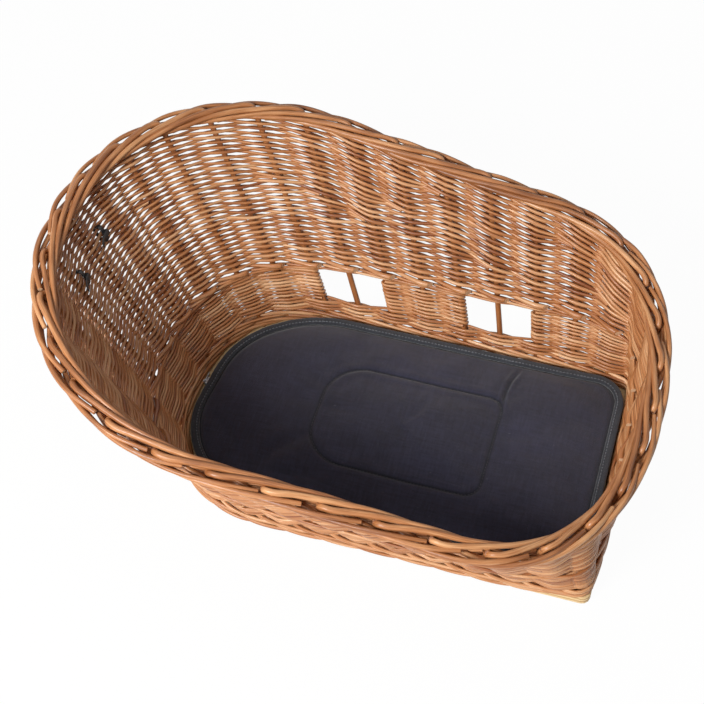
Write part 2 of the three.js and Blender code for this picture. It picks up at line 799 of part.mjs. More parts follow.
function sliderGeometry() {
  const lipX = SEAT_GAP + SLIDER_CLEARANCE / 2;
  const lipDepth = sliderOuter - lipX;
  const lipZ = sliderHalfHeight - SLIDER_PLATE / 2;
  const pieces = [
    box([SLIDER_PLATE, SLIDER_LENGTH, sliderHalfHeight * 2], [(sliderInner + sliderOuter) / 2, 0, 0]),
    box([lipDepth, SLIDER_LENGTH, SLIDER_PLATE], [lipX + lipDepth / 2, 0, lipZ]),
    box([lipDepth, SLIDER_LENGTH, SLIDER_PLATE], [lipX + lipDepth / 2, 0, -lipZ]),
  ];
  const lugReach = pinX + PIN_DIAMETER / 2 - sliderInner;
  const lugX = sliderInner + lugReach / 2;
  for (const z of [lugZ, -lugZ]) {
    pieces.push(box([lugReach, PIN_DIAMETER * 2, lugThickness], [lugX, 0, z]));
  }
  pieces.push(uprightPost(PIN_DIAMETER / 2, lugZ * 2, pinX, PIN_SIDES));
  return join(pieces);
}

function pullGeometry() {
  const bore = PIN_DIAMETER / 2 + PULL_CLEARANCE;
  const eye = uprightPost(bore + PULL_THICKNESS, PULL_HEIGHT, pinX, PIN_SIDES);
  const tabStart = bore;
  const tabLength = PULL_LENGTH - tabStart;
  const tab = box(
    [PULL_THICKNESS, tabLength, PULL_HEIGHT],
    [pinX, -(tabStart + tabLength / 2), 0],
  );
  return cut(join([eye, tab]), [uprightPost(bore, PULL_HEIGHT * 2, pinX, PIN_SIDES)]);
}

// The scene graph.

const basket = new THREE.Group();

function addMesh(parent, name, geometry, material) {
  const mesh = new THREE.Mesh(geometry, material);
  mesh.name = name;
  parent.add(mesh);
  return mesh;
}

addMesh(basket, 'base_board', boardGeometry(), plywood);

for (const k of allStakes) {
  const { bottom, top, direction } = stakeLine(k);
  const length = bottom.distanceTo(top);
  const geometry = new THREE.CylinderGeometry(STAKE_DIAMETER / 2, STAKE_DIAMETER / 2, length, STAKE_SIDES);
  const mesh = addMesh(basket, `stake_${String(k).padStart(2, '0')}`, geometry, stakeWillow);
  mesh.position.copy(bottom).lerp(top, 0.5);
  mesh.quaternion.setFromUnitVectors(new THREE.Vector3(0, 1, 0), direction);
}

addMesh(basket, 'foot_wale', ringLayer(footWaleBottom, footWaleTop, WALE_THICKNESS), willow);

const sidingBottom = footWaleTop + SEAT_GAP;
const sidingTop = windowTop - SEAT_GAP;
const [squareWindow, roundWindow] = FAR_WINDOWS;
const panels = {
  siding_square_end: [-squareWindow[0], squareWindow[0]],
  siding_far_side: [squareWindow[1], roundWindow[0]],
  siding_round_end: [roundWindow[1], STAKE_COUNT - roundWindow[1]],
  siding_near_side: [STAKE_COUNT - roundWindow[0], STAKE_COUNT - squareWindow[1]],
};
for (const [name, [first, last]] of Object.entries(panels)) {
  addMesh(basket, name, panelLayer(first, last, sidingBottom, sidingTop, SIDING_THICKNESS), willow);
}

addMesh(basket, 'mid_wale', ringLayer(windowTop, midWaleTop, WALE_THICKNESS), willow);

const upperCutters = [...stakeHoles, ...TIE_PLACES.flatMap(tieSlots)];
addMesh(basket, 'upper_siding', cut(skin(ringShares.map(upperSection), true), upperCutters), willow);
addMesh(basket, 'border', cut(skin(ringShares.map(borderSection), true), stakeHoles), willow);

TIE_PLACES.forEach((place, i) => {
  addMesh(basket, `cable_tie_${i + 1}`, tieGeometry(place), nylon);
});

const cushion = new THREE.Group();
basket.add(cushion);
addMesh(cushion, 'cushion_foam', foamGeometry(), foam);
addMesh(cushion, 'cushion_top_panel', panelGeometry(), charcoal);
addMesh(cushion, 'cushion_bottom_panel', bottomPanelGeometry(), charcoal);
addMesh(cushion, 'cushion_side_band', skin(cushionShares.map(sideSection), true), charcoal);
addMesh(cushion, 'cushion_binding', skin(cushionShares.map(bindingSection), true), tape);
addMesh(cushion, 'zip_chain', zipGeometry(), nylon);

const slider = new THREE.Group();
slider.applyMatrix4(sliderFrame());
cushion.add(slider);
addMesh(slider, 'zip_slider', sliderGeometry(), zinc);
addMesh(slider, 'zip_pull', pullGeometry(), zinc);

export default basket;
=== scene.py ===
"""Looks of the willow dog basket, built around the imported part. Sizes are in millimetres."""

import math

import bmesh
import bpy
import numpy as np
from mathutils import Matrix, Vector
from mathutils.bvhtree import BVHTree


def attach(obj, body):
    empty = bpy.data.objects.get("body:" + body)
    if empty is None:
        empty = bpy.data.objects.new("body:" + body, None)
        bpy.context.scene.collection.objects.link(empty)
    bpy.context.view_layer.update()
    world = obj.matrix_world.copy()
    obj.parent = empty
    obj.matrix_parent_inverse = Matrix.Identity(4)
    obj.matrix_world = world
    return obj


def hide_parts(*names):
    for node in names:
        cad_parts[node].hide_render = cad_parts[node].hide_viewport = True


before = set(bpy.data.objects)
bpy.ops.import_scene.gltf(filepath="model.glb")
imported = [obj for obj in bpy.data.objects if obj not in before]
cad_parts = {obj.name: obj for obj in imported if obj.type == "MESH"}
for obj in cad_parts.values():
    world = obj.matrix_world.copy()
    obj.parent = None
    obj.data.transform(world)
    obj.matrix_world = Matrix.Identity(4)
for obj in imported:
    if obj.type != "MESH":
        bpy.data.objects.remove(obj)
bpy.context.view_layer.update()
rng = np.random.default_rng(11)
MM = 0.001
TAU = 2 * math.pi
UPRIGHT = np.array([0, 0, 1.0])

# Plan of the stakes at the board, and of the border's centre line.
BASE_HALF_WIDTH = 133
BASE_ROUND_CENTRE_X = -104
BASE_ROUND_REACH = 127
BASE_ROUND_POWER = 2.3
BASE_SQUARE_END_X = 230
BASE_CORNER_RADIUS = 12
RIM_ROUND_CENTRE_X = -133
RIM_ROUND_REACH = 213
RIM_ROUND_HALF_WIDTH = 226
RIM_SQUARE_CENTRE_X = 96
RIM_SQUARE_REACH = 157.5
RIM_SQUARE_HALF_WIDTH = 216
RIM_ROUND_POWER = 2.04
RIM_SQUARE_POWER = 2.3
RIM_TALL_HEIGHT = 268
RIM_LOW_HEIGHT = 158.5
RIM_TALL_X = RIM_ROUND_CENTRE_X - RIM_ROUND_REACH
RIM_LOW_X = RIM_SQUARE_CENTRE_X + RIM_SQUARE_REACH

# Board, stakes and the heights of the woven layers.
BOARD_THICKNESS = 12
BOARD_MARGIN = 5
BOARD_CORNER_RADIUS = 9
BOARD_EDGE_ROUND = 1.6
PLY_THICKNESS = 2.4
STAKE_COUNT = 34
STAKE_RADIUS = 3.2
STAKE_TAPER = 0.94
STAKE_END_GAP = 0.6
STAKE_TOP_ENTRY = 1.5
STAKE_POINTS = 14
FOOT_WALE_BOTTOM = 12.6
FOOT_WALE_TOP = 39.6
WINDOW_TOP = 73.6
WINDOW_STAKES = ((6, 8), (10, 12))
SIDING_THICKNESS = 14
UPPER_BAY_THICKNESS = 5.6

# Upper siding. A butt is the thick end with which a weaver starts at the middle wale.
STEPS_PER_BAY = 8
WEAVE_BEND = 0.93
SIDING_ROD_RADIUS = 1.98
SIDING_ROD_CHANGE = 0.24
SIDING_ROD_SPREAD = 0.045
SIDING_ROW_PITCH = 3.2
SIDING_ROW_SPREAD = 0.1
SIDING_WAVE = 4.6
SIDING_DIP = 0.9
SIDING_ABOVE_WINDOWS = 6.5
SIDING_BELOW_RIM = 8.5
WEAVER_END_REACH = 0.85
BUTT_RADIUS = 3.3
BUTT_RADIUS_FADE = 0.7
BUTT_REACH = 0.26
BUTT_INSIDE = 3.6
BUTT_INSIDE_FADE = 0.35
BUTT_SLANT = 1.2
STRAIGHT_BUTT_STAKES = 3
CLOSE_WEAVE_PLACE = 20.5
CLOSE_WEAVE_BAYS = 4
CLOSE_WEAVE_GAIN = 0.1
LOOSE_WEAVE_LOSS = 0.1

# Window-level panels, wales and border. Each round of the foot wale has its sag and its hang.
FINE_ROD_RADIUS = 1.75
FINE_ROW_PITCH = 1.95
FINE_WAVE = 4.0
PANEL_GAP = 0.6
PANEL_BAY_GROWTH = 1.12
WALE_ROD_RADIUS = 2.0
WALE_WAVE = 4.7
WALE_SQUARENESS = 1.9
WALE_STRANDS = 4
WALE_CORNER_BAYS = 1.2
FOOT_WALE_SWING = 2.4
FOOT_WALE_ROUNDS = ((5.5, 4.6), (4.5, 2.2))
FOOT_PLAIN_ROWS = 7
MID_WALE_LEVEL = WINDOW_TOP + 3.2
MID_WALE_ROD_RADIUS = 1.6
MID_WALE_SWING = 1.5
BORDER_ROD_BUTT = 3.2
BORDER_ROD_TIP = 2.4
BORDER_READS_PER_KNOT = 7

# Cushion.
CUSHION_HALF_WIDTH = 125
CUSHION_SQUARE_X = 222
CUSHION_ROUND_X = -92.7
CUSHION_CORNER_RADIUS = 34
CUSHION_BOTTOM = 12.4
CUSHION_SIDE_LOW = 14.6
CUSHION_SIDE_HIGH = 26.6
CUSHION_SIDE_MIDDLE = (CUSHION_SIDE_LOW + CUSHION_SIDE_HIGH) / 2
CUSHION_BULGE = 2.6
CUSHION_EDGE_Z = 29.9
CUSHION_CROWN = 10
BINDING_WIDTH = 9.5
BINDING_HEIGHT = 5
BINDING_BOTTOM = CUSHION_SIDE_HIGH + 0.3
OVERHANG_TURNS_DEG = (90, 125, 145, 160, 170, 182, 192, 204, 220, 238, 256, 270)
OVERHANGS = (1, 1.5, 3.5, 3, 0.8, 0.8, 7, 12, 16, 15.5, 8, 1)
SEWN_HALF_LENGTH = 95
SEWN_HALF_WIDTH = 63.5
SEWN_ROUND_RADIUS = 44
SEWN_SQUARE_RADIUS = 17
SEWN_CENTRE = (6, -5)
SEWN_DEPTH = 1.5
SEWN_WIDTH = 1.5
SWELL_LIMIT = 6.0
SWELL_STEPS = 20

# The cushion's side from the binding down: inset, height, and share of the top's overhang.
CUSHION_SIDE = (
    (CUSHION_BULGE / 2 + 3.2, CUSHION_SIDE_HIGH + 1.2, 1),
    (CUSHION_BULGE, CUSHION_SIDE_HIGH, 0.8),
    (CUSHION_BULGE * 0.6, CUSHION_SIDE_HIGH - 1.2, 0),
    (CUSHION_BULGE * 0.3, CUSHION_SIDE_HIGH - 2.5, 0),
    (0.2, CUSHION_SIDE_MIDDLE + 2, 0),
    (0.2, CUSHION_SIDE_MIDDLE - 2, 0),
    (CUSHION_BULGE * 0.3, CUSHION_SIDE_LOW + 2.5, 0),
    (CUSHION_BULGE, CUSHION_SIDE_LOW, 0),
    (CUSHION_BULGE + 0.8, CUSHION_BOTTOM + 0.3, 0),
    (CUSHION_BULGE + 3, CUSHION_BOTTOM, 0),
)

# Creases in the cushion's top: start, end, width and depth.
CORNER_CREASE = ((101, 45), (107, 106), 1.7, 2.4)
SOFT_FOLDS = (
    ((-128, -88), (-90, -40), 7, 2.0),
    ((-188, -44), (-164, -82), 5, 1.5),
    ((-105, -98), (-62, -90), 7, 1.2),
    ((120, -95), (160, -60), 9, 0.8),
    ((-95, 70), (-40, 92), 9, 0.7),
    ((135, 20), (190, 60), 10, 0.7),
)

# Zip and cable ties.
ZIP_START_DEG = 170
ZIP_END_DEG = 242
ZIP_MIDDLE_Z = 20.6
ZIP_COIL_PITCH = 1.5
TIE_PLACES = (16.55, 17.8)
TIE_BELOW_RIM = 54
TIE_GAP = 0.3
TIE_WIDTH = 4.6
TIE_THICKNESS = 1.2
TIE_HALF_HEIGHT = 9.4
TIE_CORNER = 2.6
TIE_HEAD_WIDTH = 7
TIE_HEAD_SIZE = (4.5, TIE_HEAD_WIDTH, 6)
TIE_TAIL_WIDTH = 4.2
TIE_TAIL_THICKNESS = 1.1


def srgb(red, green, blue):
    """A colour given in 0-255 display values, as linear RGBA."""
    values = np.array([red, green, blue]) / 255
    linear = np.where(values <= 0.04045, values / 12.92, ((values + 0.055) / 1.055) ** 2.4)
    return (*[float(v) for v in linear], 1.0)


def unit(vectors):
    return vectors / np.linalg.norm(vectors, axis=-1, keepdims=True)


def lift(plan, z):
    """Points of a plan at one height, or at a height each."""
    height = np.broadcast_to(np.asarray(z, float), plan.shape[:-1])
    return np.concatenate([plan, height[..., None]], -1)


# Plan outlines. Each starts in the middle of the square end and turns towards +Y.

def mirrored(half):
    back = half[1:-1][::-1].copy()
    back[:, 1] *= -1
    return np.vstack([half, back])


def super_power(value, power):
    return np.sign(value) * np.abs(value) ** (2 / power)


def quarter(start, centre_x, reach, half_width, power, steps):
    """A quarter of a superellipse."""
    turn = np.linspace(start, start + math.pi / 2, steps + 1)
    return np.stack([
        centre_x + reach * super_power(np.cos(turn), power),
        half_width * super_power(np.sin(turn), power),
    ], 1)


def round_quarter(centre_x, reach, half_width, power, steps):
    """From the widest place to the middle of the round end."""
    points = quarter(math.pi / 2, centre_x, reach, half_width, power, steps)
    points[-1, 1] = 0
    return points


def d_plan(square_x, half_width, corner, round_x, round_reach, round_power, steps=96, corner_steps=12):
    arc = quarter(0, square_x - corner, corner, corner, 2, corner_steps) + [0, half_width - corner]
    round_end = round_quarter(round_x, round_reach, half_width, round_power, steps)
    return mirrored(np.vstack([[[square_x, 0]], arc, round_end]))


def rim_plan(steps=192):
    square = quarter(
        0, RIM_SQUARE_CENTRE_X, RIM_SQUARE_REACH, RIM_SQUARE_HALF_WIDTH, RIM_SQUARE_POWER, steps,
    )
    round_end = round_quarter(
        RIM_ROUND_CENTRE_X, RIM_ROUND_REACH, RIM_ROUND_HALF_WIDTH, RIM_ROUND_POWER, steps,
    )
    return mirrored(np.vstack([square, round_end]))


class Loop:
    """A closed outline read by its share of the way round."""

    def __init__(self, points):
        self.points = np.vstack([points, points[:1]])
        steps = np.linalg.norm(np.diff(self.points, axis=0), axis=1)
        self.lengths = np.concatenate([[0], np.cumsum(steps)])
        self.length = self.lengths[-1]

    def at(self, share):
        target = (share % 1) * self.length
        return np.stack([np.interp(target, self.lengths, column) for column in self.points.T], -1)

    def evenly(self, count):
        """Evenly spaced points and the outward directions there."""
        share = np.arange(count) / count
        ahead = self.at(share + 0.002) - self.at(share - 0.002)
        return self.at(share), unit(np.stack([ahead[:, 1], -ahead[:, 0]], 1))


base_loop = Loop(d_plan(
    BASE_SQUARE_END_X, BASE_HALF_WIDTH, BASE_CORNER_RADIUS,
    BASE_ROUND_CENTRE_X, BASE_ROUND_REACH, BASE_ROUND_POWER,
))
board_loop = Loop(d_plan(
    BASE_SQUARE_END_X + BOARD_MARGIN, BASE_HALF_WIDTH + BOARD_MARGIN, BOARD_CORNER_RADIUS,
    BASE_ROUND_CENTRE_X, BASE_ROUND_REACH + BOARD_MARGIN, BASE_ROUND_POWER,
))
rim_loop = Loop(rim_plan())
cushion_loop = Loop(d_plan(
    CUSHION_SQUARE_X, CUSHION_HALF_WIDTH, CUSHION_CORNER_RADIUS,
    CUSHION_ROUND_X, CUSHION_HALF_WIDTH, 2, steps=60, corner_steps=24,
))


# The wall. A place is counted in stakes round it; a rise is the share of the way up a stake.

def foot_at(place):
    return lift(base_loop.at(np.asarray(place) / STAKE_COUNT), BOARD_THICKNESS)


def rim_at(place):
    plan = rim_loop.at(np.asarray(place) / STAKE_COUNT)
    share = (plan[..., 0] - RIM_TALL_X) / (RIM_LOW_X - RIM_TALL_X)
    return lift(plan, RIM_TALL_HEIGHT + (RIM_LOW_HEIGHT - RIM_TALL_HEIGHT) * share)


def stake_length(place):
    return np.linalg.norm(rim_at(place) - foot_at(place), axis=-1)


def wall_at(place, rise):
    low = foot_at(place)
    return low + (rim_at(place) - low) * np.asarray(rise)[..., None]


def wall_axes(place, rise):
    """Outward across the wall, along it, and up the stake."""
    step = 0.06
    along = unit(wall_at(place + step, rise) - wall_at(place - step, rise))
    up = unit(rim_at(place) - foot_at(place))
    return unit(np.cross(along, up)), along, up


def wall_path(place, rise, offset):
    """Points at an offset outward from the wall's middle, with outward and up there."""
    outward, along, up = wall_axes(place, rise)
    return wall_at(place, rise) + outward * offset[:, None], outward, up


def rise_of_height(place, z):
    return (z - BOARD_THICKNESS) / (rim_at(place)[..., 2] - BOARD_THICKNESS)


def woven(places):
    """From 1 at one stake to -1 at the next: nearly straight between two, bent round each."""
    return np.arcsin(WEAVE_BEND * np.cos(math.pi * places)) / math.asin(WEAVE_BEND)


def through_knots(values, positions):
    """A smooth curve through values at 0, 1, 2 and so on, read at the positions."""
    first = 2 * values[0] - values[1]
    last = 2 * values[-1] - values[-2]
    padded = np.concatenate([[first], values, [last]])
    index = np.clip(np.floor(positions).astype(int), 0, len(values) - 2)
    t = positions - index
    a, b, c, d = (padded[index + ahead] for ahead in range(4))
    square = 2 * a - 5 * b + 4 * c - d
    cube = 3 * b - a - 3 * c + d
    return 0.5 * (2 * b + (c - a) * t + square * t ** 2 + cube * t ** 3)


def wander(count, step, amount):
    """A slow random drift, one value per point, with a new aim every few points."""
    knots = rng.normal(0, amount, max(3, count // step + 3))
    return through_knots(knots, np.linspace(0, len(knots) - 1.001, count))


# Meshes.

def skin(name, points, faces):
    """A smooth mesh from points in millimetres."""
    mesh = bpy.data.meshes.new(name)
    mesh.from_pydata((points * MM).tolist(), [], faces)
    mesh.shade_smooth()
    return mesh


def finish_object(name, mesh, material, body, nodes=()):
    obj = bpy.data.objects.new(name, mesh)
    bpy.context.scene.collection.objects.link(obj)
    mesh.materials.append(material)
    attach(obj, body)
    if nodes:
        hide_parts(*nodes)
    return obj


class Rods:
    """Round rods swept along paths, gathered into one mesh."""

    CAP_SHARE = 0.86
    STRIP_MARGIN = 0.06

    def __init__(self):
        self.points = []
        self.grain = []
        self.tone = []
        self.cut = []
        self.quads = []
        self.triangles = []
        self.quad_uv = []
        self.triangle_uv = []
        self.count = 0
        self.strips = 0

    def _push(self, points, grain, tone):
        start = self.count
        self.points.append(points)
        self.grain.append(grain)
        self.tone.append(tone)
        self.cut.append(np.zeros(len(points)))
        self.count += len(points)
        return start

    def add(
        self, path, radius, tone, reference, sides=8, closed=False,
        cut_start=False, cut_end=False, flat=1.0, slant=None,
    ):
        """Flat squashes the rod's section, and slant slopes its first end."""
        count = len(path)
        radius = np.broadcast_to(np.asarray(radius, float), (count,))
        tone = np.broadcast_to(np.asarray(tone, float), (count,))
        if closed:
            tangent = np.roll(path, -1, 0) - np.roll(path, 1, 0)
        else:
            tangent = np.gradient(path, axis=0)
        tangent = unit(tangent)
        side = unit(np.cross(tangent, np.broadcast_to(reference, path.shape)))
        over = np.cross(side, tangent)
        turn = np.arange(sides) / sides * TAU
        ring = np.cos(turn)[None, :, None] * over[:, None, :]
        ring = ring + flat * np.sin(turn)[None, :, None] * side[:, None, :]
        points = path[:, None, :] + radius[:, None, None] * ring
        if slant is not None:
            points[0] += tangent[0] * ((points[0] - path[0]) @ slant)[:, None]
        step = np.linalg.norm(np.diff(path, axis=0), axis=1)
        along = np.concatenate([[0], np.cumsum(step)])
        offset = rng.uniform(0, 400, 3)
        grain = np.stack([
            np.repeat(along[:, None] / 10, sides, 1),
            np.repeat(np.cos(turn)[None, :], count, 0),
            np.repeat(np.sin(turn)[None, :], count, 0),
        ], -1) + offset
        start = self._push(points.reshape(-1, 3), grain.reshape(-1, 3), np.repeat(tone, sides))
        rows = np.arange(count if closed else count - 1)
        a = start + rows[:, None] * sides
        b = start + ((rows + 1) % count)[:, None] * sides
        j = np.arange(sides)[None, :]
        k = (j + 1) % sides
        self.quads.append(np.stack([a + j, a + k, b + k, b + j], -1).reshape(-1, 4))
        ends = np.concatenate([along, [along[-1] + step.mean()]])
        uv = np.empty((len(rows), sides, 4, 2))
        for corner, (ahead, across) in enumerate(((0, 0), (0, 1), (1, 1), (1, 0))):
            uv[:, :, corner, 0] = ends[rows + ahead][:, None]
            uv[:, :, corner, 1] = (j + across) / sides
        self.quad_uv.append((uv.reshape(-1, 4, 2), self.strips))
        if not closed:
            for end, facing, cut in ((0, -1, cut_start), (-1, 1, cut_end)):
                self._cap(
                    points[end], path[end], tangent[end] * facing, radius[end], tone[end],
                    offset, along[end], cut, reverse=facing < 0,
                )
        self.strips += 1

    def _cap(self, ring, centre, outward, radius, tone, offset, along, cut, reverse):
        """Closes an end with a small bevel and a disc that can be shown as freshly cut."""
        sides = len(ring)
        bevel = centre + (ring - centre) * self.CAP_SHARE + outward * radius * 0.16
        middle = (centre + outward * radius * 0.2)[None]
        turn = np.arange(sides) / sides * TAU
        disc = np.stack([np.zeros(sides), np.cos(turn), np.sin(turn)], 1)
        inner = disc * self.CAP_SHARE
        grain = np.vstack([disc, inner, inner, np.zeros((1, 3))]) + offset + [along / 10, 0, 0]
        start = self._push(np.vstack([ring, bevel, bevel, middle]), grain, np.full(3 * sides + 1, tone))
        self.cut[-1][2 * sides:] = float(cut)
        j = np.arange(sides)
        k = (j + 1) % sides
        quads = start + np.stack([j, k, sides + k, sides + j], -1)
        fan = start + np.stack([np.full(sides, 3 * sides), 2 * sides + j, 2 * sides + k], -1)
        if reverse:
            quads = quads[:, [0, 3, 2, 1]]
            fan = fan[:, [0, 2, 1]]
        self.quads.append(quads)
        self.triangles.append(fan)
        self.quad_uv.append((np.full((sides, 4, 2), [along, 0.5]), self.strips))
        self.triangle_uv.append((np.full((sides, 3, 2), [along, 0.5]), self.strips))

    def _uv(self, parts, longest):
        """Each rod has a strip of its own."""
        out = []
        for uv, strip in parts:
            across = self.STRIP_MARGIN + (1 - 2 * self.STRIP_MARGIN) * uv[..., 1]
            placed = np.stack([uv[..., 0] / longest, (strip + across) / self.strips], -1)
            out.append(placed.reshape(-1, 2))
        return out

    def mesh(self, name):
        faces = np.vstack(self.quads).tolist()
        if self.triangles:
            faces += np.vstack(self.triangles).tolist()
        mesh = skin(name, np.vstack(self.points), faces)
        longest = max(float(uv[..., 0].max()) for uv, strip in self.quad_uv) * 1.002
        uv = np.vstack(self._uv(self.quad_uv, longest) + self._uv(self.triangle_uv, longest))
        layer = mesh.uv_layers.new(name="OFBake")
        layer.data.foreach_set("uv", uv.astype(np.float32).ravel())
        grain = mesh.attributes.new("grain", "FLOAT_VECTOR", "POINT")
        grain.data.foreach_set("vector", np.vstack(self.grain).astype(np.float32).ravel())
        for label, values in (("tone", self.tone), ("cut", self.cut)):
            layer = mesh.attributes.new(label, "FLOAT", "POINT")
            layer.data.foreach_set("value", np.concatenate(values).astype(np.float32))
        return mesh


def rod_tones(places, low=9, high=26):
    """One tone per point: a new rod, with a tone of its own, starts every few stakes."""
    tones = np.empty(len(places))
    start = places[0] - rng.uniform(0, low)
    while start < places[-1]:
        end = start + rng.uniform(low, high)
        tones[(places >= start) & (places <= end)] = rng.normal(0, 1)
        start = end
    return tones


# Materials.

class Nodes:
    """The node tree of a material or the world, built by short calls."""

    def __init__(self, owner):
        owner.use_nodes = True
        self.owner = owner
        self.tree = owner.node_tree
        self.shader = self.tree.nodes.get("Principled BSDF")

    def feed(self, socket, value):
        if isinstance(value, bpy.types.NodeSocket):
            self.tree.links.new(value, socket)
        else:
            socket.default_value = value

    def new(self, kind, inputs=(), **settings):
        node = self.tree.nodes.new(kind)
        for key, value in settings.items():
            setattr(node, key, value)
        for key, value in dict(inputs).items():
            self.feed(node.inputs[key], value)
        return node

    def set(self, **values):
        for key, value in values.items():
            self.feed(self.shader.inputs[key.replace("_", " ")], value)

    def attribute(self, name, output="Fac"):
        return self.new("ShaderNodeAttribute", attribute_name=name).outputs[output]

    def place(self):
        return self.new("ShaderNodeTexCoord").outputs["Object"]

    def height(self, vector):
        return self.new("ShaderNodeSeparateXYZ", {0: vector}).outputs["Z"]

    def noise(self, vector, scales, detail):
        scaled = self.new("ShaderNodeMapping", {"Vector": vector, "Scale": scales}).outputs["Vector"]
        inputs = {"Vector": scaled, "Scale": 1.0, "Detail": detail, "Roughness": 0.55}
        return self.new("ShaderNodeTexNoise", inputs).outputs["Fac"]

    def math(self, operation, a, b):
        return self.new("ShaderNodeMath", {0: a, 1: b}, operation=operation).outputs[0]

    def add(self, a, b):
        return self.math("ADD", a, b)

    def times(self, a, b):
        return self.math("MULTIPLY", a, b)

    def span(self, value, low, high, to_low, to_high):
        inputs = {"Value": value, "From Min": low, "From Max": high, "To Min": to_low, "To Max": to_high}
        return self.new("ShaderNodeMapRange", inputs).outputs["Result"]

    def ramp(self, value, *stops):
        node = self.new("ShaderNodeValToRGB", {"Fac": value})
        elements = node.color_ramp.elements
        while len(elements) < len(stops):
            elements.new(0.5)
        for element, (position, colour) in zip(elements, stops):
            element.position = position
            element.color = srgb(*colour)
        return node.outputs["Color"]

    def mix(self, factor, a, b):
        return self.new("ShaderNodeMix", {0: factor, 6: a, 7: b}, data_type="RGBA").outputs[2]

    def bump(self, height, strength, distance):
        inputs = {"Height": height, "Strength": strength, "Distance": distance}
        self.set(Normal=self.new("ShaderNodeBump", inputs).outputs["Normal"])

    def done(self, colour, roughness):
        self.set(Base_Color=colour, Roughness=roughness)
        return self.owner

    def seen_directly(self):
        """1 for rays from the camera, off a glossy face or through glass, and 0 for other rays."""
        rays = self.new("ShaderNodeLightPath").outputs
        seen = self.math("MAXIMUM", rays["Is Camera Ray"], rays["Is Glossy Ray"])
        return self.math("MAXIMUM", seen, rays["Is Transmission Ray"])


def material_nodes(name):
    return Nodes(bpy.data.materials.new(name))


def willow_material(name, light, middle, dark):
    """Peeled and steamed willow: streaks along the rod, a tone per rod, pale cut ends."""
    n = material_nodes(name)
    grain = n.attribute("grain", "Vector")
    streak = n.noise(grain, (0.35, 3.2, 3.2), 4.0)
    patch = n.noise(grain, (0.22, 0.5, 0.5), 2.0)
    fine = n.noise(grain, (1.6, 9.0, 9.0), 3.0)
    knot = n.noise(grain, (0.5, 0.9, 0.9), 1.0)
    shade = n.add(n.times(n.attribute("tone"), 0.17), n.span(streak, 0.3, 0.7, 0.2, 0.8))
    shade = n.add(shade, n.span(patch, 0.3, 0.7, -0.22, 0.22))
    colour = n.ramp(shade, (0.05, dark), (0.5, middle), (0.95, light))
    colour = n.mix(n.span(knot, 0.74, 0.8, 0.0, 0.55), colour, srgb(84, 46, 24))
    rings = n.ramp(n.span(fine, 0.3, 0.7, 0, 1), (0.0, (205, 160, 118)), (1.0, (232, 200, 164)))
    colour = n.mix(n.attribute("cut"), colour, rings)
    n.bump(n.add(n.times(streak, 0.7), n.times(fine, 0.3)), 0.35, 0.0006)
    n.set(Specular_IOR_Level=0.5)
    return n.done(colour, n.span(fine, 0.3, 0.7, 0.28, 0.46))


def plywood_material():
    """Long grain on the faces, plies on the edge."""
    n = material_nodes("plywood")
    place = n.place()
    grain = n.noise(place, (9, 160, 60), 5.0)
    flecks = n.noise(place, (60, 1400, 400), 2.0)
    face = n.ramp(
        n.span(grain, 0.3, 0.7, 0, 1), (0.0, (196, 160, 108)), (0.5, (216, 184, 134)), (1.0, (230, 204, 158)),
    )
    face = n.mix(n.span(flecks, 0.62, 0.8, 0, 0.35), face, srgb(160, 116, 70))
    ply = n.math("PINGPONG", n.times(n.height(place), 1 / (PLY_THICKNESS * MM)), 1.0)
    edge_grain = n.noise(place, (300, 300, 2600), 3.0)
    level = n.add(n.times(ply, 0.7), n.times(edge_grain, 0.4))
    edge = n.ramp(level, (0.25, (176, 134, 84)), (0.45, (214, 180, 130)), (0.8, (228, 200, 152)))
    normal = n.new("ShaderNodeNewGeometry").outputs["Normal"]
    facing = n.span(n.math("ABSOLUTE", n.height(normal), 0), 0.5, 0.8, 0, 1)
    n.bump(n.add(grain, n.times(flecks, 0.5)), 0.2, 0.0005)
    return n.done(n.mix(facing, edge, face), n.span(grain, 0.3, 0.7, 0.55, 0.75))


def cloth_material(name, dark, light, twill_scale):
    """Twill with uneven yarn, a little lint, and near-black lines along the seams: painted shade in the seam
    grooves and in a crease.
    """
    n = material_nodes(name)
    place = n.place()
    twill = n.new(
        "ShaderNodeTexWave", {"Vector": place, "Scale": twill_scale, "Distortion": 0.6, "Detail": 1.0},
        wave_type="BANDS", bands_direction="DIAGONAL",
    ).outputs["Fac"]
    yarn = n.noise(place, (900, 900, 900), 2.0)
    cloudy = n.noise(place, (14, 14, 14), 4.0)
    lint = n.noise(place, (420, 420, 420), 1.0)
    slub = n.add(n.noise(place, (45, 520, 200), 2.0), n.noise(place, (520, 45, 200), 2.0))
    level = n.add(n.times(twill, 0.35), n.times(yarn, 0.45))
    level = n.add(level, n.span(cloudy, 0.3, 0.7, -0.12, 0.12))
    level = n.add(level, n.span(slub, 0.7, 1.3, -0.14, 0.14))
    colour = n.ramp(level, (0.15, dark), (0.75, light))
    colour = n.mix(n.span(lint, 0.74, 0.82, 0, 0.3), colour, srgb(120, 120, 128))
    # Painted shade: the seam attribute darkens the cloth towards near black along the seams and in the corner
    # crease.
    colour = n.mix(n.times(n.attribute("seam"), 0.95), colour, srgb(12, 12, 15))
    n.bump(n.add(twill, yarn), 0.35, 0.0004)
    n.set(Sheen_Weight=0.35, Sheen_Roughness=0.5, Specular_IOR_Level=0.25)
    return n.done(colour, n.span(yarn, 0.3, 0.7, 0.78, 0.95))


def nylon_material(name, scales, detail, dark, light, bump, roughness):
    n = material_nodes(name)
    grain = n.noise(n.place(), scales, detail)
    n.bump(grain, bump, 0.0003)
    return n.done(n.ramp(grain, (0.3, dark), (0.7, light)), n.span(grain, 0.3, 0.7, *roughness))


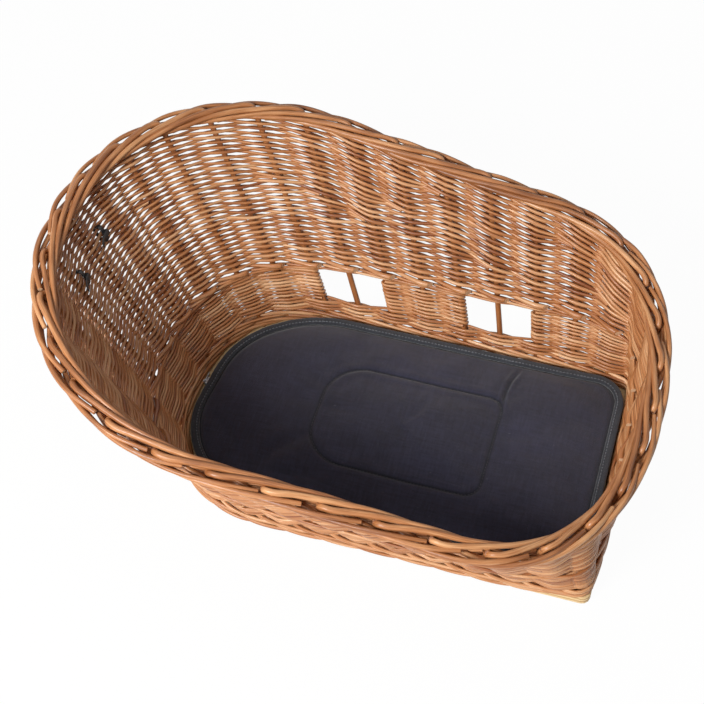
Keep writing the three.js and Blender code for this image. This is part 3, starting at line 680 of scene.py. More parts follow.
def metal_material():
    n = material_nodes("plated_metal")
    place = n.place()
    brushed = n.noise(place, (300, 300, 3000), 3.0)
    worn = n.noise(place, (500, 500, 500), 3.0)
    n.bump(brushed, 0.15, 0.0002)
    n.set(Metallic=1.0)
    colour = n.ramp(worn, (0.3, (120, 122, 126)), (0.7, (178, 180, 184)))
    return n.done(colour, n.span(brushed, 0.3, 0.7, 0.22, 0.42))


def floor_material():
    """Pale, and nearly white to the camera."""
    n = material_nodes("pale_floor")
    n.set(Base_Color=srgb(236, 236, 234), Roughness=0.9)
    glow = n.new("ShaderNodeEmission", {"Color": (1, 1, 1, 1), "Strength": 1.0}).outputs[0]
    inputs = {0: n.times(n.seen_directly(), 0.97), 1: n.shader.outputs[0], 2: glow}
    mixer = n.new("ShaderNodeMixShader", inputs)
    n.feed(n.tree.nodes["Material Output"].inputs["Surface"], mixer.outputs[0])
    return n.owner


willow = willow_material("willow_rods", (221, 173, 128), (186, 123, 74), (135, 76, 39))
border_willow = willow_material("willow_border", (212, 158, 110), (175, 114, 68), (127, 74, 38))
stake_willow = willow_material("willow_stakes", (176, 116, 66), (146, 88, 46), (100, 56, 28))
cushion_cloth = cloth_material("cushion_twill", (30, 29, 40), (57, 57, 78), 900)
binding_cloth = cloth_material("binding_tape", (34, 36, 41), (63, 66, 73), 1500)
edge_thread = cloth_material("edge_thread", (82, 86, 92), (126, 130, 137), 2500)
sewn_thread = cloth_material("sewn_thread", (34, 34, 42), (60, 60, 72), 2500)
zip_nylon = nylon_material("zip_coil", (1500, 1500, 700), 2.0, (18, 18, 20), (38, 38, 42), 0.2, (0.4, 0.6))
black_nylon = nylon_material(
    "black_nylon", (900, 900, 900), 3.0, (14, 14, 15), (30, 30, 32), 0.12, (0.32, 0.5),
)


# Upper siding: weavers that climb one row at each stake, inside one and outside the next.

def siding_limits(place):
    low = rise_of_height(place, WINDOW_TOP + SIDING_ABOVE_WINDOWS)
    high = 1 - SIDING_BELOW_RIM / stake_length(place)
    return low, high


def siding_counts():
    """Rows at each stake, always an even number."""
    counts = []
    for stake in range(STAKE_COUNT):
        low, high = siding_limits(np.array(float(stake)))
        length = (high - low) * stake_length(float(stake))
        counts.append(2 * int(round(float(length) / SIDING_ROW_PITCH / 2)))
    return counts


def weaver_chains(counts, splits):
    """Follows each weaver from stake to stake as (stake, row) pairs.

    Rods are added or left out between two rows, at the split chosen for each bay.
    """
    chains = []
    arriving = {}
    for row in range(counts[0]):
        chains.append([(0, row)])
        arriving[row] = chains[-1]
    for stake in range(STAKE_COUNT):
        there = counts[(stake + 1) % STAKE_COUNT]
        change = there - counts[stake]
        split = splits[stake]
        leaving = {}
        for row, chain in arriving.items():
            if row < split:
                target = row + 1
            elif row < split - change:
                continue
            else:
                target = row + 1 + change
            if target < there:
                chain.append((stake + 1, target))
                leaving[target] = chain
        for row in range(there):
            if row not in leaving and stake + 1 < STAKE_COUNT:
                chains.append([(stake + 1, row)])
                leaving[row] = chains[-1]
        arriving = leaving
    return joined_chains(chains, arriving)


def joined_chains(chains, arriving):
    """Joins the weavers that come round to the first stake to those that start there."""
    first = {chain[0][1]: chain for chain in chains if chain[0][0] == 0}
    followers = {}
    for row, chain in arriving.items():
        if row > 0 and row in first and first[row] is not chain:
            followers[id(chain)] = first[row]
    led = {id(chain) for chain in followers.values()}
    joined = []
    for chain in chains:
        if id(chain) in led:
            continue
        whole = list(chain)
        turn = 0
        current = chain
        while id(current) in followers and turn < 4:
            current = followers[id(current)]
            turn += 1
            whole += [(stake + turn * STAKE_COUNT, row) for stake, row in current[1:]]
        joined.append(whole)
    return joined


def siding_rod_size(spots, rise):
    """A weaver's radius: thicker low where the weave is close, thinner high where it is loose."""
    round_wall = np.cos(TAU * spots / STAKE_COUNT)
    low, high = siding_limits(spots)
    height_share = (rise - low) / (high - low)
    from_close = (spots % STAKE_COUNT - CLOSE_WEAVE_PLACE) / CLOSE_WEAVE_BAYS
    close = np.exp(-from_close ** 2) * np.clip(1.6 - 2 * height_share, 0, 1)
    loose = (0.6 - 0.4 * round_wall) * np.clip(3 * height_share - 0.3, 0, 1)
    change = CLOSE_WEAVE_GAIN * close - LOOSE_WEAVE_LOSS * loose
    size = SIDING_ROD_RADIUS + SIDING_ROD_CHANGE * round_wall
    return size * (1 + change + rng.normal(0, SIDING_ROD_SPREAD))


def upper_siding():
    rods = Rods()
    counts = siding_counts()
    splits = [2 * int(count * rng.uniform(0.2, 0.85) / 2) for count in counts]
    limits = [siding_limits(np.array(float(k))) for k in range(STAKE_COUNT)]

    def rise_at(stake, row):
        low, high = limits[stake % STAKE_COUNT]
        return float(low + (high - low) * row / counts[stake % STAKE_COUNT])

    for chain in weaver_chains(counts, splits):
        first, first_row = chain[0]
        last, last_row = chain[-1]
        butt = first_row == 0
        knots = [rise_at(stake, row + 0.5 + rng.normal(0, SIDING_ROW_SPREAD)) for stake, row in chain]
        before = (first - 1) % STAKE_COUNT
        after = (last + 1) % STAKE_COUNT
        knots.insert(0, knots[0] if butt else rise_at(before, splits[before]))
        if last_row > counts[last % STAKE_COUNT] - 4:
            knots.append(rise_at(after, counts[after] + 0.3))
        else:
            knots.append(rise_at(after, splits[last % STAKE_COUNT] + 1))
        start = -BUTT_REACH if butt else -WEAVER_END_REACH
        end = len(chain) - 1 + WEAVER_END_REACH
        places = np.linspace(start, end, int((end - start) * STEPS_PER_BAY) + 2)
        rise = through_knots(np.array(knots), places + 1)
        spots = places + first
        side = -1 if first_row % 2 else 1
        rise = rise - np.cos(math.pi * places) * side * SIDING_DIP / stake_length(spots)
        offset = -side * SIDING_WAVE * woven(places) * (1 + wander(len(places), step=10, amount=0.05))
        size = siding_rod_size(spots, rise)
        radius = size * (1 + 0.07 * np.cos(TAU * places) + wander(len(places), step=24, amount=0.06))
        if butt:
            offset = offset - BUTT_INSIDE * np.exp(-np.maximum(places + 0.1, 0) / BUTT_INSIDE_FADE)
            swelling = np.exp(-(places - start) / BUTT_RADIUS_FADE)
            radius = radius + (BUTT_RADIUS - SIDING_ROD_RADIUS) * swelling
        path, outward, up = wall_path(spots, rise, offset)
        slanted = butt and min(first, STAKE_COUNT - first) > STRAIGHT_BUTT_STAKES
        slant = -BUTT_SLANT * outward[0] if slanted else None
        rods.add(path, radius, rod_tones(spots), up, sides=7, cut_start=True, cut_end=True, slant=slant)
    return rods.mesh("upper_siding_rods")


finish_object("upper_siding_weave", upper_siding(), willow, "basket", ["upper_siding"])


# Window-level siding: fine weavers that turn back round the stakes at the windows.

def fine_panel(first, last):
    rods = Rods()
    low_z = FOOT_WALE_TOP + PANEL_GAP
    high_z = WINDOW_TOP - PANEL_GAP
    rows = int(round((high_z - low_z) / FINE_ROW_PITCH))
    bay = float(base_loop.length) / STAKE_COUNT * PANEL_BAY_GROWTH
    turn_reach = (STAKE_RADIUS + FINE_ROD_RADIUS) / bay
    places = []
    offsets = []
    heights = []
    run = np.linspace(first, last, (last - first) * STEPS_PER_BAY + 1)
    bow = np.linspace(0, math.pi, 9)[1:-1]
    for row in range(rows):
        sign = 1 if row % 2 else -1
        wave = sign * FINE_WAVE * woven(run - first)
        z = low_z + (row + 0.5) * FINE_ROW_PITCH
        rightward = row % 2 == 0
        order = slice(None) if rightward else slice(None, None, -1)
        places.append(run[order])
        offsets.append(wave[order] * (1 + wander(len(run), step=8, amount=0.05)))
        heights.append(z + wander(len(run), step=8, amount=0.12))
        if row < rows - 1:
            edge = last if rightward else first
            reach = turn_reach if rightward else -turn_reach
            ending = offsets[-1][-1]
            places.append(edge + reach * np.sin(bow))
            offsets.append(ending * np.cos(bow))
            heights.append(z + FINE_ROW_PITCH * bow / math.pi)
    places = np.concatenate(places)
    rise = rise_of_height(places, np.concatenate(heights))
    path, outward, up = wall_path(places, rise, np.concatenate(offsets))
    steps = np.linspace(0, 1, len(path)) * rows * (last - first)
    radius = FINE_ROD_RADIUS * (1 + wander(len(path), step=40, amount=0.08))
    rods.add(path, radius, rod_tones(steps, 6, 20), up, sides=6, cut_start=True, cut_end=True)
    return rods


square_window, round_window = WINDOW_STAKES
panel_runs = {
    "siding_square_end": (-square_window[0], square_window[0]),
    "siding_far_side": (square_window[1], round_window[0]),
    "siding_round_end": (round_window[1], STAKE_COUNT - round_window[1]),
    "siding_near_side": (STAKE_COUNT - round_window[0], STAKE_COUNT - square_window[1]),
}
for panel_name, panel_run in panel_runs.items():
    panel = fine_panel(*panel_run).mesh(panel_name)
    finish_object(panel_name + "_weave", panel, willow, "basket", [panel_name])


# Wales and plain rows, all round the wall.

row_places = np.linspace(0, STAKE_COUNT, STAKE_COUNT * STEPS_PER_BAY + 1)[:-1]


def add_row(rods, z, offset, radius):
    path, outward, up = wall_path(row_places, rise_of_height(row_places, z), offset)
    size = radius * (1 + wander(len(row_places), step=30, amount=0.06))
    rods.add(path, size, rod_tones(row_places), up, closed=True)


def wale_round(rods, level, radius, swing, sag=0.0, hang=0.0):
    """Four rods, each inside two stakes and outside the next two.

    Outside, sag lets them down, and hang lets them out past the board's edge, but not at its two corners.
    """
    corner = BASE_HALF_WIDTH / base_loop.length * STAKE_COUNT
    from_corner = np.minimum(np.abs(row_places - corner), np.abs(row_places - STAKE_COUNT + corner))
    away = 1 - np.exp(-(from_corner / WALE_CORNER_BAYS) ** 2)
    for strand in range(WALE_STRANDS):
        phase = (row_places - strand - 0.5) / WALE_STRANDS * TAU + level
        offset = -WALE_WAVE * np.tanh(WALE_SQUARENESS * np.cos(phase)) / math.tanh(WALE_SQUARENESS)
        z = level + swing * np.sin(phase) + wander(len(row_places), step=12, amount=0.18)
        outside = np.clip(offset / WALE_WAVE, 0, 1) ** 2 * away
        add_row(rods, z - sag * outside, offset + hang * outside, radius)


def plain_rows(rods, low_z, high_z, rows, radius):
    """Closed rows, inside one stake and outside the next, each against the row below."""
    for row in range(rows):
        drift = 1 + wander(len(row_places), step=10, amount=0.05)
        z = low_z + (high_z - low_z) * (row + 0.5) / rows + wander(len(row_places), step=10, amount=0.2)
        add_row(rods, z, WALE_WAVE * woven(row_places + row) * drift, radius)


foot_wale = Rods()
foot_middle = (FOOT_WALE_BOTTOM + FOOT_WALE_TOP) / 2
for number, (sag, hang) in enumerate(FOOT_WALE_ROUNDS):
    share = (number + 0.5) / len(FOOT_WALE_ROUNDS)
    level = FOOT_WALE_BOTTOM + (foot_middle - FOOT_WALE_BOTTOM) * share
    wale_round(foot_wale, level, WALE_ROD_RADIUS, FOOT_WALE_SWING, sag, hang)
plain_rows(foot_wale, foot_middle, FOOT_WALE_TOP, FOOT_PLAIN_ROWS, FINE_ROD_RADIUS)
finish_object(
    "foot_wale_weave", foot_wale.mesh("foot_wale"), willow, "basket", ["foot_wale"],
)

mid_wale = Rods()
wale_round(mid_wale, MID_WALE_LEVEL, MID_WALE_ROD_RADIUS, MID_WALE_SWING)
finish_object("mid_wale_weave", mid_wale.mesh("mid_wale"), willow, "basket", ["mid_wale"])


# Stakes. The slanted lower end stays over the board's underside.

def stake_mesh(stake, name):
    places = np.full(STAKE_POINTS, float(stake))
    length = float(stake_length(float(stake)))
    height = float(rim_at(float(stake))[2]) - BOARD_THICKNESS
    end_dip = STAKE_RADIUS * math.sqrt(1 - (height / length) ** 2)
    bottom = -(BOARD_THICKNESS - STAKE_END_GAP - end_dip) / height
    rise = np.linspace(bottom, 1 + STAKE_TOP_ENTRY / length, STAKE_POINTS)
    outward, along, up = wall_axes(places, rise)
    bend = wander(STAKE_POINTS, step=4, amount=0.25)
    bend[:3] = 0
    path = wall_at(places, rise) + along * bend[:, None]
    radius = np.linspace(STAKE_RADIUS, STAKE_RADIUS * STAKE_TAPER, STAKE_POINTS)
    rods = Rods()
    rods.add(path, radius, rng.normal(0, 1), outward, sides=12, cut_start=True)
    return rods.mesh(name)


for stake in range(STAKE_COUNT):
    rod_name = f"stake_rod_{stake:02d}"
    finish_object(
        rod_name, stake_mesh(stake, rod_name), stake_willow, "basket", [f"stake_{stake:02d}"],
    )


# Border: each stake's end bends over into the rim, runs down its inside, under it and along its outside.
# A knot is counted in bays along the rim, then in millimetres outward from and above its centre line.

BORDER_KNOTS = (
    (0, 0, -9), (0, 0.6, -1), (0.07, 1.2, 4.0), (0.24, 0.8, 5.2), (0.55, -2.5, 4.5), (1, -5.6, 3.2),
    (1.5, -7.9, 1.4), (2, -9.3, -1.2), (2.5, -8.7, -4.2), (3, -6.4, -5.8), (3.5, 0, -6.4), (4, 6.0, -5.6),
    (4.5, 8.5, -4.6), (5, 9.8, -1.5), (5.5, 10.0, 3.0), (6, 8.8, 5.2), (6.4, 6.2, 4.4), (6.8, 3.0, 1.6),
)


def border_axes(place):
    """Outward from the rim's line, and upward square to it."""
    step = 0.1
    along = unit(rim_at(place + step) - rim_at(place - step))
    up = unit(rim_at(place) - foot_at(place))
    outward = unit(np.cross(along, up))
    return outward, np.cross(outward, along)


def border_rods():
    rods = Rods()
    knots = np.array(BORDER_KNOTS)
    spans = len(knots) - 1
    reads = np.linspace(0, spans, spans * BORDER_READS_PER_KNOT + 1)
    taper = BORDER_ROD_BUTT + (BORDER_ROD_TIP - BORDER_ROD_BUTT) * (reads / reads[-1])
    for stake in range(STAKE_COUNT):
        bays, across, above = (through_knots(column, reads) for column in knots.T)
        radius = taper * (1 + rng.normal(0, 0.05))
        loose = np.clip(bays / 0.5, 0, 1)
        across = across + loose * wander(len(reads), step=14, amount=0.45)
        above = above + loose * wander(len(reads), step=14, amount=0.4)
        place = stake + bays * (1 + rng.uniform(-0.05, 0.02))
        outward, upward = border_axes(place)
        path = rim_at(place) + outward * across[:, None] + upward * above[:, None]
        reference = outward + upward * 0.2
        rods.add(path, radius, rng.normal(0, 1), reference, sides=10, cut_start=True, cut_end=True)
    return rods.mesh("border")


finish_object("border_rods", border_rods(), border_willow, "basket", ["border"])


# Base board.

def base_board():
    count = 320
    outline, normal = board_loop.evenly(count)
    rings = []
    for turn in np.linspace(-math.pi / 2, 0, 5):
        inset = BOARD_EDGE_ROUND * (1 - math.cos(turn))
        rings.append((inset, BOARD_EDGE_ROUND * (1 + math.sin(turn))))
    rings += [(inset, BOARD_THICKNESS - z) for inset, z in rings[::-1]]
    mesh = bmesh.new()
    layers = []
    for inset, z in rings:
        ring = lift(outline - normal * inset, z) * MM
        layers.append([mesh.verts.new(p) for p in ring])
    for low, high in zip(layers, layers[1:]):
        for i in range(count):
            k = (i + 1) % count
            mesh.faces.new((low[i], low[k], high[k], high[i])).smooth = True
    mesh.faces.new(layers[0][::-1])
    mesh.faces.new(layers[-1])
    data = bpy.data.meshes.new("base_board_ply")
    mesh.to_mesh(data)
    mesh.free()
    return data


finish_object("base_board_ply", base_board(), plywood_material(), "basket", ["base_board"])


# Cushion.

def sewn_distance(x, y):
    """Distance from the sewn line, negative inside it. Its corners are rounder towards the round end."""
    radius = np.where(x < SEWN_CENTRE[0], SEWN_ROUND_RADIUS, SEWN_SQUARE_RADIUS)
    dx = np.abs(x - SEWN_CENTRE[0]) - (SEWN_HALF_LENGTH - radius)
    dy = np.abs(y - SEWN_CENTRE[1]) - (SEWN_HALF_WIDTH - radius)
    outside = np.hypot(np.maximum(dx, 0), np.maximum(dy, 0))
    return outside + np.minimum(np.maximum(dx, dy), 0) - radius


def top_overhang(outline):
    """How far the top edge leans out past the side band, with little where the zip's slider rests."""
    x, y = outline[:, 0], outline[:, 1]
    turn = np.degrees(np.arctan2(y, x - CUSHION_ROUND_X)) % 360
    steps = np.linspace(-8, 8, 17)[:, None]
    round_end = np.interp(turn + steps, OVERHANG_TURNS_DEG, OVERHANGS).mean(0)
    square_end = 1 + 2.2 * np.clip((x - 150) / 60, 0, 1)
    return np.where(x < CUSHION_ROUND_X, round_end, square_end)


def top_line(count, binding_share):
    """A line round the top edge, at a share of the binding's width in from its outer edge."""
    outline, normal = cushion_loop.evenly(count)
    inset = CUSHION_BULGE / 2 + BINDING_WIDTH * binding_share - top_overhang(outline)[:, None]
    return outline - normal * inset


def cushion_mesh(around, rings):
    """A closed crowned cushion: top, side band and underside, all in one skin."""
    outline, normal = cushion_loop.evenly(around)
    centre = np.array(SEWN_CENTRE, float)
    lean = top_overhang(outline)[:, None]
    seam = top_line(around, 1)
    layers = []
    for share in np.linspace(0, 1, rings + 1)[1:]:
        z = CUSHION_EDGE_Z + CUSHION_CROWN * (1 - share ** 3)
        layers.append(lift(centre + (seam - centre) * share, z))
    for inset, z, share in CUSHION_SIDE:
        layers.append(lift(outline - normal * (inset - lean * share), z))
    for share in (0.7, 0.35):
        layers.append(lift(centre + (outline - centre) * share, CUSHION_BOTTOM))
    crown = [[*centre, CUSHION_EDGE_Z + CUSHION_CROWN]]
    points = np.vstack([crown, *layers, [[*centre, CUSHION_BOTTOM]]])
    faces = []
    for i in range(around):
        k = (i + 1) % around
        faces.append((0, 1 + i, 1 + k))
        for layer in range(len(layers) - 1):
            a = 1 + layer * around
            b = a + around
            faces.append((a + i, b + i, b + k, a + k))
        end = 1 + (len(layers) - 1) * around
        faces.append((end + i, len(points) - 1, end + k))
    return points, faces, 1 + rings * around


CLOTH_SETTINGS = {
    "quality": 6,
    "mass": 0.25,
    "tension_stiffness": 12,
    "compression_stiffness": 12,
    "shear_stiffness": 6,
    "bending_stiffness": 3,
    "use_pressure": True,
    "uniform_pressure_force": 4,
    "vertex_group_mass": "held",
    "shrink_min": -0.008,
}


def swell(points, faces, free):
    """Blows the top up under its seams with cloth simulation, and gives each point's move within bounds."""
    trial = bpy.data.objects.new("cushion_trial", skin("cushion_trial", points, faces))
    bpy.context.scene.collection.objects.link(trial)
    held = trial.vertex_groups.new(name="held")
    held.add([int(i) for i in np.nonzero(~free)[0]], 1.0, "REPLACE")
    cloth = trial.modifiers.new("cloth", "CLOTH")
    for key, value in CLOTH_SETTINGS.items():
        setattr(cloth.settings, key, value)
    cloth.settings.effector_weights.gravity = 0
    cloth.collision_settings.use_collision = False
    cloth.collision_settings.use_self_collision = False
    for step in range(1, SWELL_STEPS + 1):
        bpy.context.scene.frame_set(step)
    shaped = trial.evaluated_get(bpy.context.evaluated_depsgraph_get())
    moved = np.empty(len(points) * 3)
    shaped.data.vertices.foreach_get("co", moved)
    bpy.context.scene.frame_set(1)
    bpy.data.objects.remove(trial)
    move = moved.reshape(-1, 3) / MM - points
    size = np.linalg.norm(move, axis=1, keepdims=True)
    return move * np.minimum(1, SWELL_LIMIT / np.maximum(size, 1e-6))


def fold(x, y, start, end, width, depth):
    """A crease along a line: a groove with a soft lip on each side."""
    start, end = np.array(start, float), np.array(end, float)
    line = end - start
    length = np.linalg.norm(line)
    along = ((x - start[0]) * line[0] + (y - start[1]) * line[1]) / length
    across = ((x - start[0]) * -line[1] + (y - start[1]) * line[0]) / length
    share = np.clip(along / length, 0, 1)
    fade = np.sin(math.pi * np.clip((along / length + 0.12) / 1.24, 0, 1)) ** 0.7
    across = across - 4 * np.sin(share * math.pi)
    groove = -np.exp(-(across / width) ** 2)
    lips = 0.55 * np.exp(-((np.abs(across) - 2.4 * width) / (1.4 * width)) ** 2)
    return depth * fade * (groove + lips)


def dress_cushion(points, top_end):
    """Adds the sewn line, creases and soft unevenness, and gives each point's painted shade along the seams
    and in the corner crease.
    """
    x, y = points[:, 0], points[:, 1]
    top = np.arange(len(points)) < top_end
    edge = top_line(720, 1)
    to_edge = np.array([np.min(np.hypot(edge[:, 0] - a, edge[:, 1] - b)) for a, b in zip(x, y)])
    ease = np.clip(to_edge / 18, 0, 1)
    line = sewn_distance(x, y)
    sewn = np.exp(-(line / SEWN_WIDTH) ** 2)
    z = -SEWN_DEPTH * sewn + 0.8 * np.exp(-((np.abs(line) - 6) / 4.5) ** 2)
    corner_crease = fold(x, y, *CORNER_CREASE)
    z += corner_crease
    for crease in SOFT_FOLDS:
        z += fold(x, y, *crease)
    z += 0.7 * np.sin(x / 37 + 0.6) * np.sin(y / 29 + 1.1) + 0.3 * np.sin(x / 17 + y / 23)
    dressed = points.copy()
    dressed[:, 2] += np.where(top, z * ease - 2.2 * np.exp(-(to_edge / 2.2) ** 2), 0)
    # Painted shade: dark along the sewn line and the top seam, and in the corner crease, where the grooves
    # would hold shade.
    seam = np.maximum(sewn, np.exp(-(to_edge / 1.8) ** 2))
    seam = np.maximum(seam, np.clip(-corner_crease / 3.2, 0, 1))
    return dressed, np.where(top, seam, 0)


def spread(field, rings, around):
    """A field known ring by ring on the coarse cushion, read on a finer one."""
    row = np.linspace(0, len(field) - 1, rings + 1)
    column = np.arange(around) / around * field.shape[1]
    i = np.minimum(row.astype(int), len(field) - 2)
    j = column.astype(int)
    k = (j + 1) % field.shape[1]
    v = (column - j)[None, :, None]
    low = field[i][:, j] * (1 - v) + field[i][:, k] * v
    high = field[i + 1][:, j] * (1 - v) + field[i + 1][:, k] * v
    u = (row - i)[:, None, None]
    return low * (1 - u) + high * u


def swelling(rings, around):
    """How far the cloth simulation moves the top, smoothed and read on the finer cushion."""
    coarse_rings, coarse_around = 44, 200
    points, faces, top_end = cushion_mesh(coarse_around, coarse_rings)
    held_line = np.abs(sewn_distance(points[:, 0], points[:, 1])) < 2.4
    free = (np.arange(len(points)) < top_end - coarse_around) & ~held_line
    move = swell(points, faces, free)
    field = move[1:top_end].reshape(coarse_rings, coarse_around, 3)
    field = np.concatenate([np.broadcast_to(move[0], (1, coarse_around, 3)), field])
    for repeat in range(3):
        field = (2 * field + np.roll(field, 1, 1) + np.roll(field, -1, 1)) / 4
        field[1:-1] = (2 * field[1:-1] + field[:-2] + field[2:]) / 4
        field[0] = field[1].mean(0)
    return spread(field, rings, around)


def make_cushion():
    rings, around = 104, 460
    points, faces, top_end = cushion_mesh(around, rings)
    move = swelling(rings, around)
    points[0] += move[0, 0]
    points[1:top_end] += move[1:].reshape(-1, 3)
    points, seam = dress_cushion(points, top_end)
    data = skin("seat_cushion", points, faces)
    # The seam attribute carries the painted shade of the seams and the crease into the cloth's colour.
    layer = data.attributes.new("seam", "FLOAT", "POINT")
    layer.data.foreach_set("value", seam.astype(np.float32))
    cushion = finish_object(
        "seat_cushion", data, cushion_cloth, "cushion",
        ["cushion_top_panel", "cushion_side_band", "cushion_bottom_panel", "cushion_foam"],
    )
    return BVHTree.FromPolygons(points.tolist(), faces)


cushion_surface = make_cushion()


def signed_power(value, power):
    return abs(value) ** power * math.copysign(1, value)


def binding():
    """Bound edge: a folded tape round the top seam."""
    count = 520
    outline, normal = cushion_loop.evenly(count)
    middle = CUSHION_BULGE / 2 + BINDING_WIDTH / 2 - top_overhang(outline)[:, None]
    centre_z = BINDING_BOTTOM + BINDING_HEIGHT / 2
    ripple = 0.25 * np.sin(np.arange(count) / count * TAU * 46) + wander(count, step=9, amount=0.2)
    points = []
    for turn in np.linspace(0, TAU, 21)[:-1]:
        across = signed_power(math.cos(turn), 0.7) * BINDING_WIDTH / 2
        above = signed_power(math.sin(turn), 0.8) * BINDING_HEIGHT / 2
        if above > 0:
            above -= 0.5 * math.exp(-((across + 1.4) / 0.7) ** 2)
        z = centre_z + above + ripple * (0.7 if above > 0 else 0.2)
        points.append(lift(outline - normal * (middle - across), z))
    sides = len(points)
    faces = []
    for i in range(count):
        k = (i + 1) % count
        for j in range(sides):
            m = (j + 1) % sides
            faces.append((i * sides + j, k * sides + j, k * sides + m, i * sides + m))
    return skin("edge_binding", np.stack(points, 1).reshape(-1, 3), faces)


finish_object("edge_binding", binding(), binding_cloth, "cushion", ["cushion_binding"])


def stitches(line, z, pitch, length, radius):
    """Short raised stitches along a closed line."""
    rods = Rods()
    loop = Loop(line)
    count = int(loop.length / pitch)
    for i in range(count):
        share = i / count
        span = np.linspace(-0.5, 0.5, 5) * length / loop.length
        plan = loop.at(share + span)
        height = z(plan) + radius * np.array([-0.6, 0.5, 0.8, 0.5, -0.6])
        rods.add(lift(plan, height), radius, 0, UPRIGHT, sides=6)
    return rods.mesh("stitches")


def cushion_height(plan):
    """The cushion's top at points of its plan."""
    above = 80
    hits = [cushion_surface.ray_cast(Vector((x, y, above)), Vector((0, 0, -1)))[0] for x, y in plan]
    return np.array([hit.z for hit in hits])


def binding_height(plan):
    return np.full(len(plan), BINDING_BOTTOM + BINDING_HEIGHT - 0.5)


def sewn_line():
    """The rounded rectangle sewn into the cushion's top."""
    turn = (np.arange(96) + 0.5) / 96 * TAU
    side_x, side_y = np.sign(np.cos(turn)), np.sign(np.sin(turn))
    radius = np.where(side_x < 0, SEWN_ROUND_RADIUS, SEWN_SQUARE_RADIUS)
    x = side_x * (SEWN_HALF_LENGTH - radius) + radius * np.cos(turn)
    y = side_y * (SEWN_HALF_WIDTH - radius) + radius * np.sin(turn)
    return np.stack([x, y], 1) + SEWN_CENTRE


binding_stitches = stitches(top_line(720, 0.7), binding_height, pitch=3.8, length=2.4, radius=0.55)
finish_object("binding_stitches", binding_stitches, edge_thread, "cushion")
sewn_stitches = stitches(sewn_line(), cushion_height, pitch=3.6, length=2.3, radius=0.36)
finish_object("sewn_stitches", sewn_stitches, sewn_thread, "cushion")


# Zip: a coil on a tape along the cushion's round end, with the CAD slider and pull.

def zip_points(degrees, outward, z):
    turn = np.radians(degrees)
    reach = CUSHION_HALF_WIDTH + outward
    return np.stack([CUSHION_ROUND_X + reach * np.cos(turn), reach * np.sin(turn), z + 0 * turn], -1)


def zip_chain():
    """The coil, the tape's two edges and a stop at each end."""
    rods = Rods()
    arc = math.radians(ZIP_END_DEG - ZIP_START_DEG) * CUSHION_HALF_WIDTH
    turns = int(arc / ZIP_COIL_PITCH)
    phase = np.linspace(0, turns * TAU, turns * 8)
    degrees = np.linspace(ZIP_START_DEG + 0.5, ZIP_END_DEG - 0.5, len(phase))
    coil = zip_points(degrees, 0.85 + 0.36 * np.cos(phase), ZIP_MIDDLE_Z + 1.55 * np.sin(phase))
    rods.add(coil, 0.3, 0, np.array([0.3, 0.2, 1.0]), sides=5)
    edge = np.linspace(ZIP_START_DEG, ZIP_END_DEG, 60)
    for side, end in ((-1, ZIP_START_DEG), (1, ZIP_END_DEG)):
        band = zip_points(edge, 0.35, ZIP_MIDDLE_Z + side * 2.5)
        rods.add(band, 1.1, 0, UPRIGHT, flat=0.22)
        stop = zip_points(np.linspace(end - 0.7, end + 0.7, 4), 0.9, ZIP_MIDDLE_Z)
        rods.add(stop, 1.5, 0, UPRIGHT, flat=0.45)
    return rods.mesh("zip_chain")


finish_object("zip_chain_coil", zip_chain(), zip_nylon, "cushion", ["zip_chain"])

plated = metal_material()
for node_name in ("zip_slider", "zip_pull"):
    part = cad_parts[node_name]
    part.data.materials.clear()
    part.data.materials.append(plated)
    soften = part.modifiers.new("soft_edges", "BEVEL")
    soften.width = 0.22 * MM
    soften.segments = 2
    soften.limit_method = "ANGLE"


# Cable ties.

STRAP_SECTION = ((-1, -0.5), (-0.9, -1), (0.9, -1), (1, -0.5), (1, 0.5), (0.9, 1), (-0.9, 1), (-1, 0.5))


def strap(corners, width_axis, width, thickness):
    """A flat band along a path, as a closed mesh: points and faces."""
    path = np.array(corners, float)
    tangent = unit(np.gradient(path, axis=0))
    across = np.broadcast_to(unit(np.array(width_axis, float)), path.shape)
    normal = unit(np.cross(tangent, across))
    ring = [path + across * side * width / 2 + normal * over * thickness / 2 for side, over in STRAP_SECTION]
    points = np.stack(ring, 1).reshape(-1, 3)
    sides = len(ring)
    faces = []
    for i in range(len(path) - 1):
        for j in range(sides):
            k = (j + 1) % sides
            faces.append((i * sides + j, i * sides + k, (i + 1) * sides + k, (i + 1) * sides + j))
    faces.append(tuple(range(sides))[::-1])
    faces.append(tuple((len(path) - 1) * sides + j for j in range(sides)))
    return points, faces


def tie_half_depth(place):
    """Half the siding's thickness where the tie's head lies on it, and the gap to it."""
    bay = rim_loop.length / STAKE_COUNT
    edges = [place + side * TIE_HEAD_WIDTH / bay for side in (-1, 1)]
    from_stake = min(abs(edge - round(edge)) for edge in edges)
    return (SIDING_THICKNESS + (UPPER_BAY_THICKNESS - SIDING_THICKNESS) * 2 * from_stake) / 2 + TIE_GAP


def tie_matrix(place):
    """From the tie's own axes to the wall: X outward, Y along it, Z up it."""
    share = np.array(float(place))
    rise = 1 - TIE_BELOW_RIM / stake_length(share)
    outward, along, up = (np.ravel(axis) for axis in wall_axes(share, rise))
    centre = np.ravel(wall_at(share, rise))
    columns = np.column_stack([outward, np.cross(up, outward), up, centre])
    return Matrix.Scale(MM, 4) @ Matrix([[*row] for row in columns] + [[0, 0, 0, 1]])


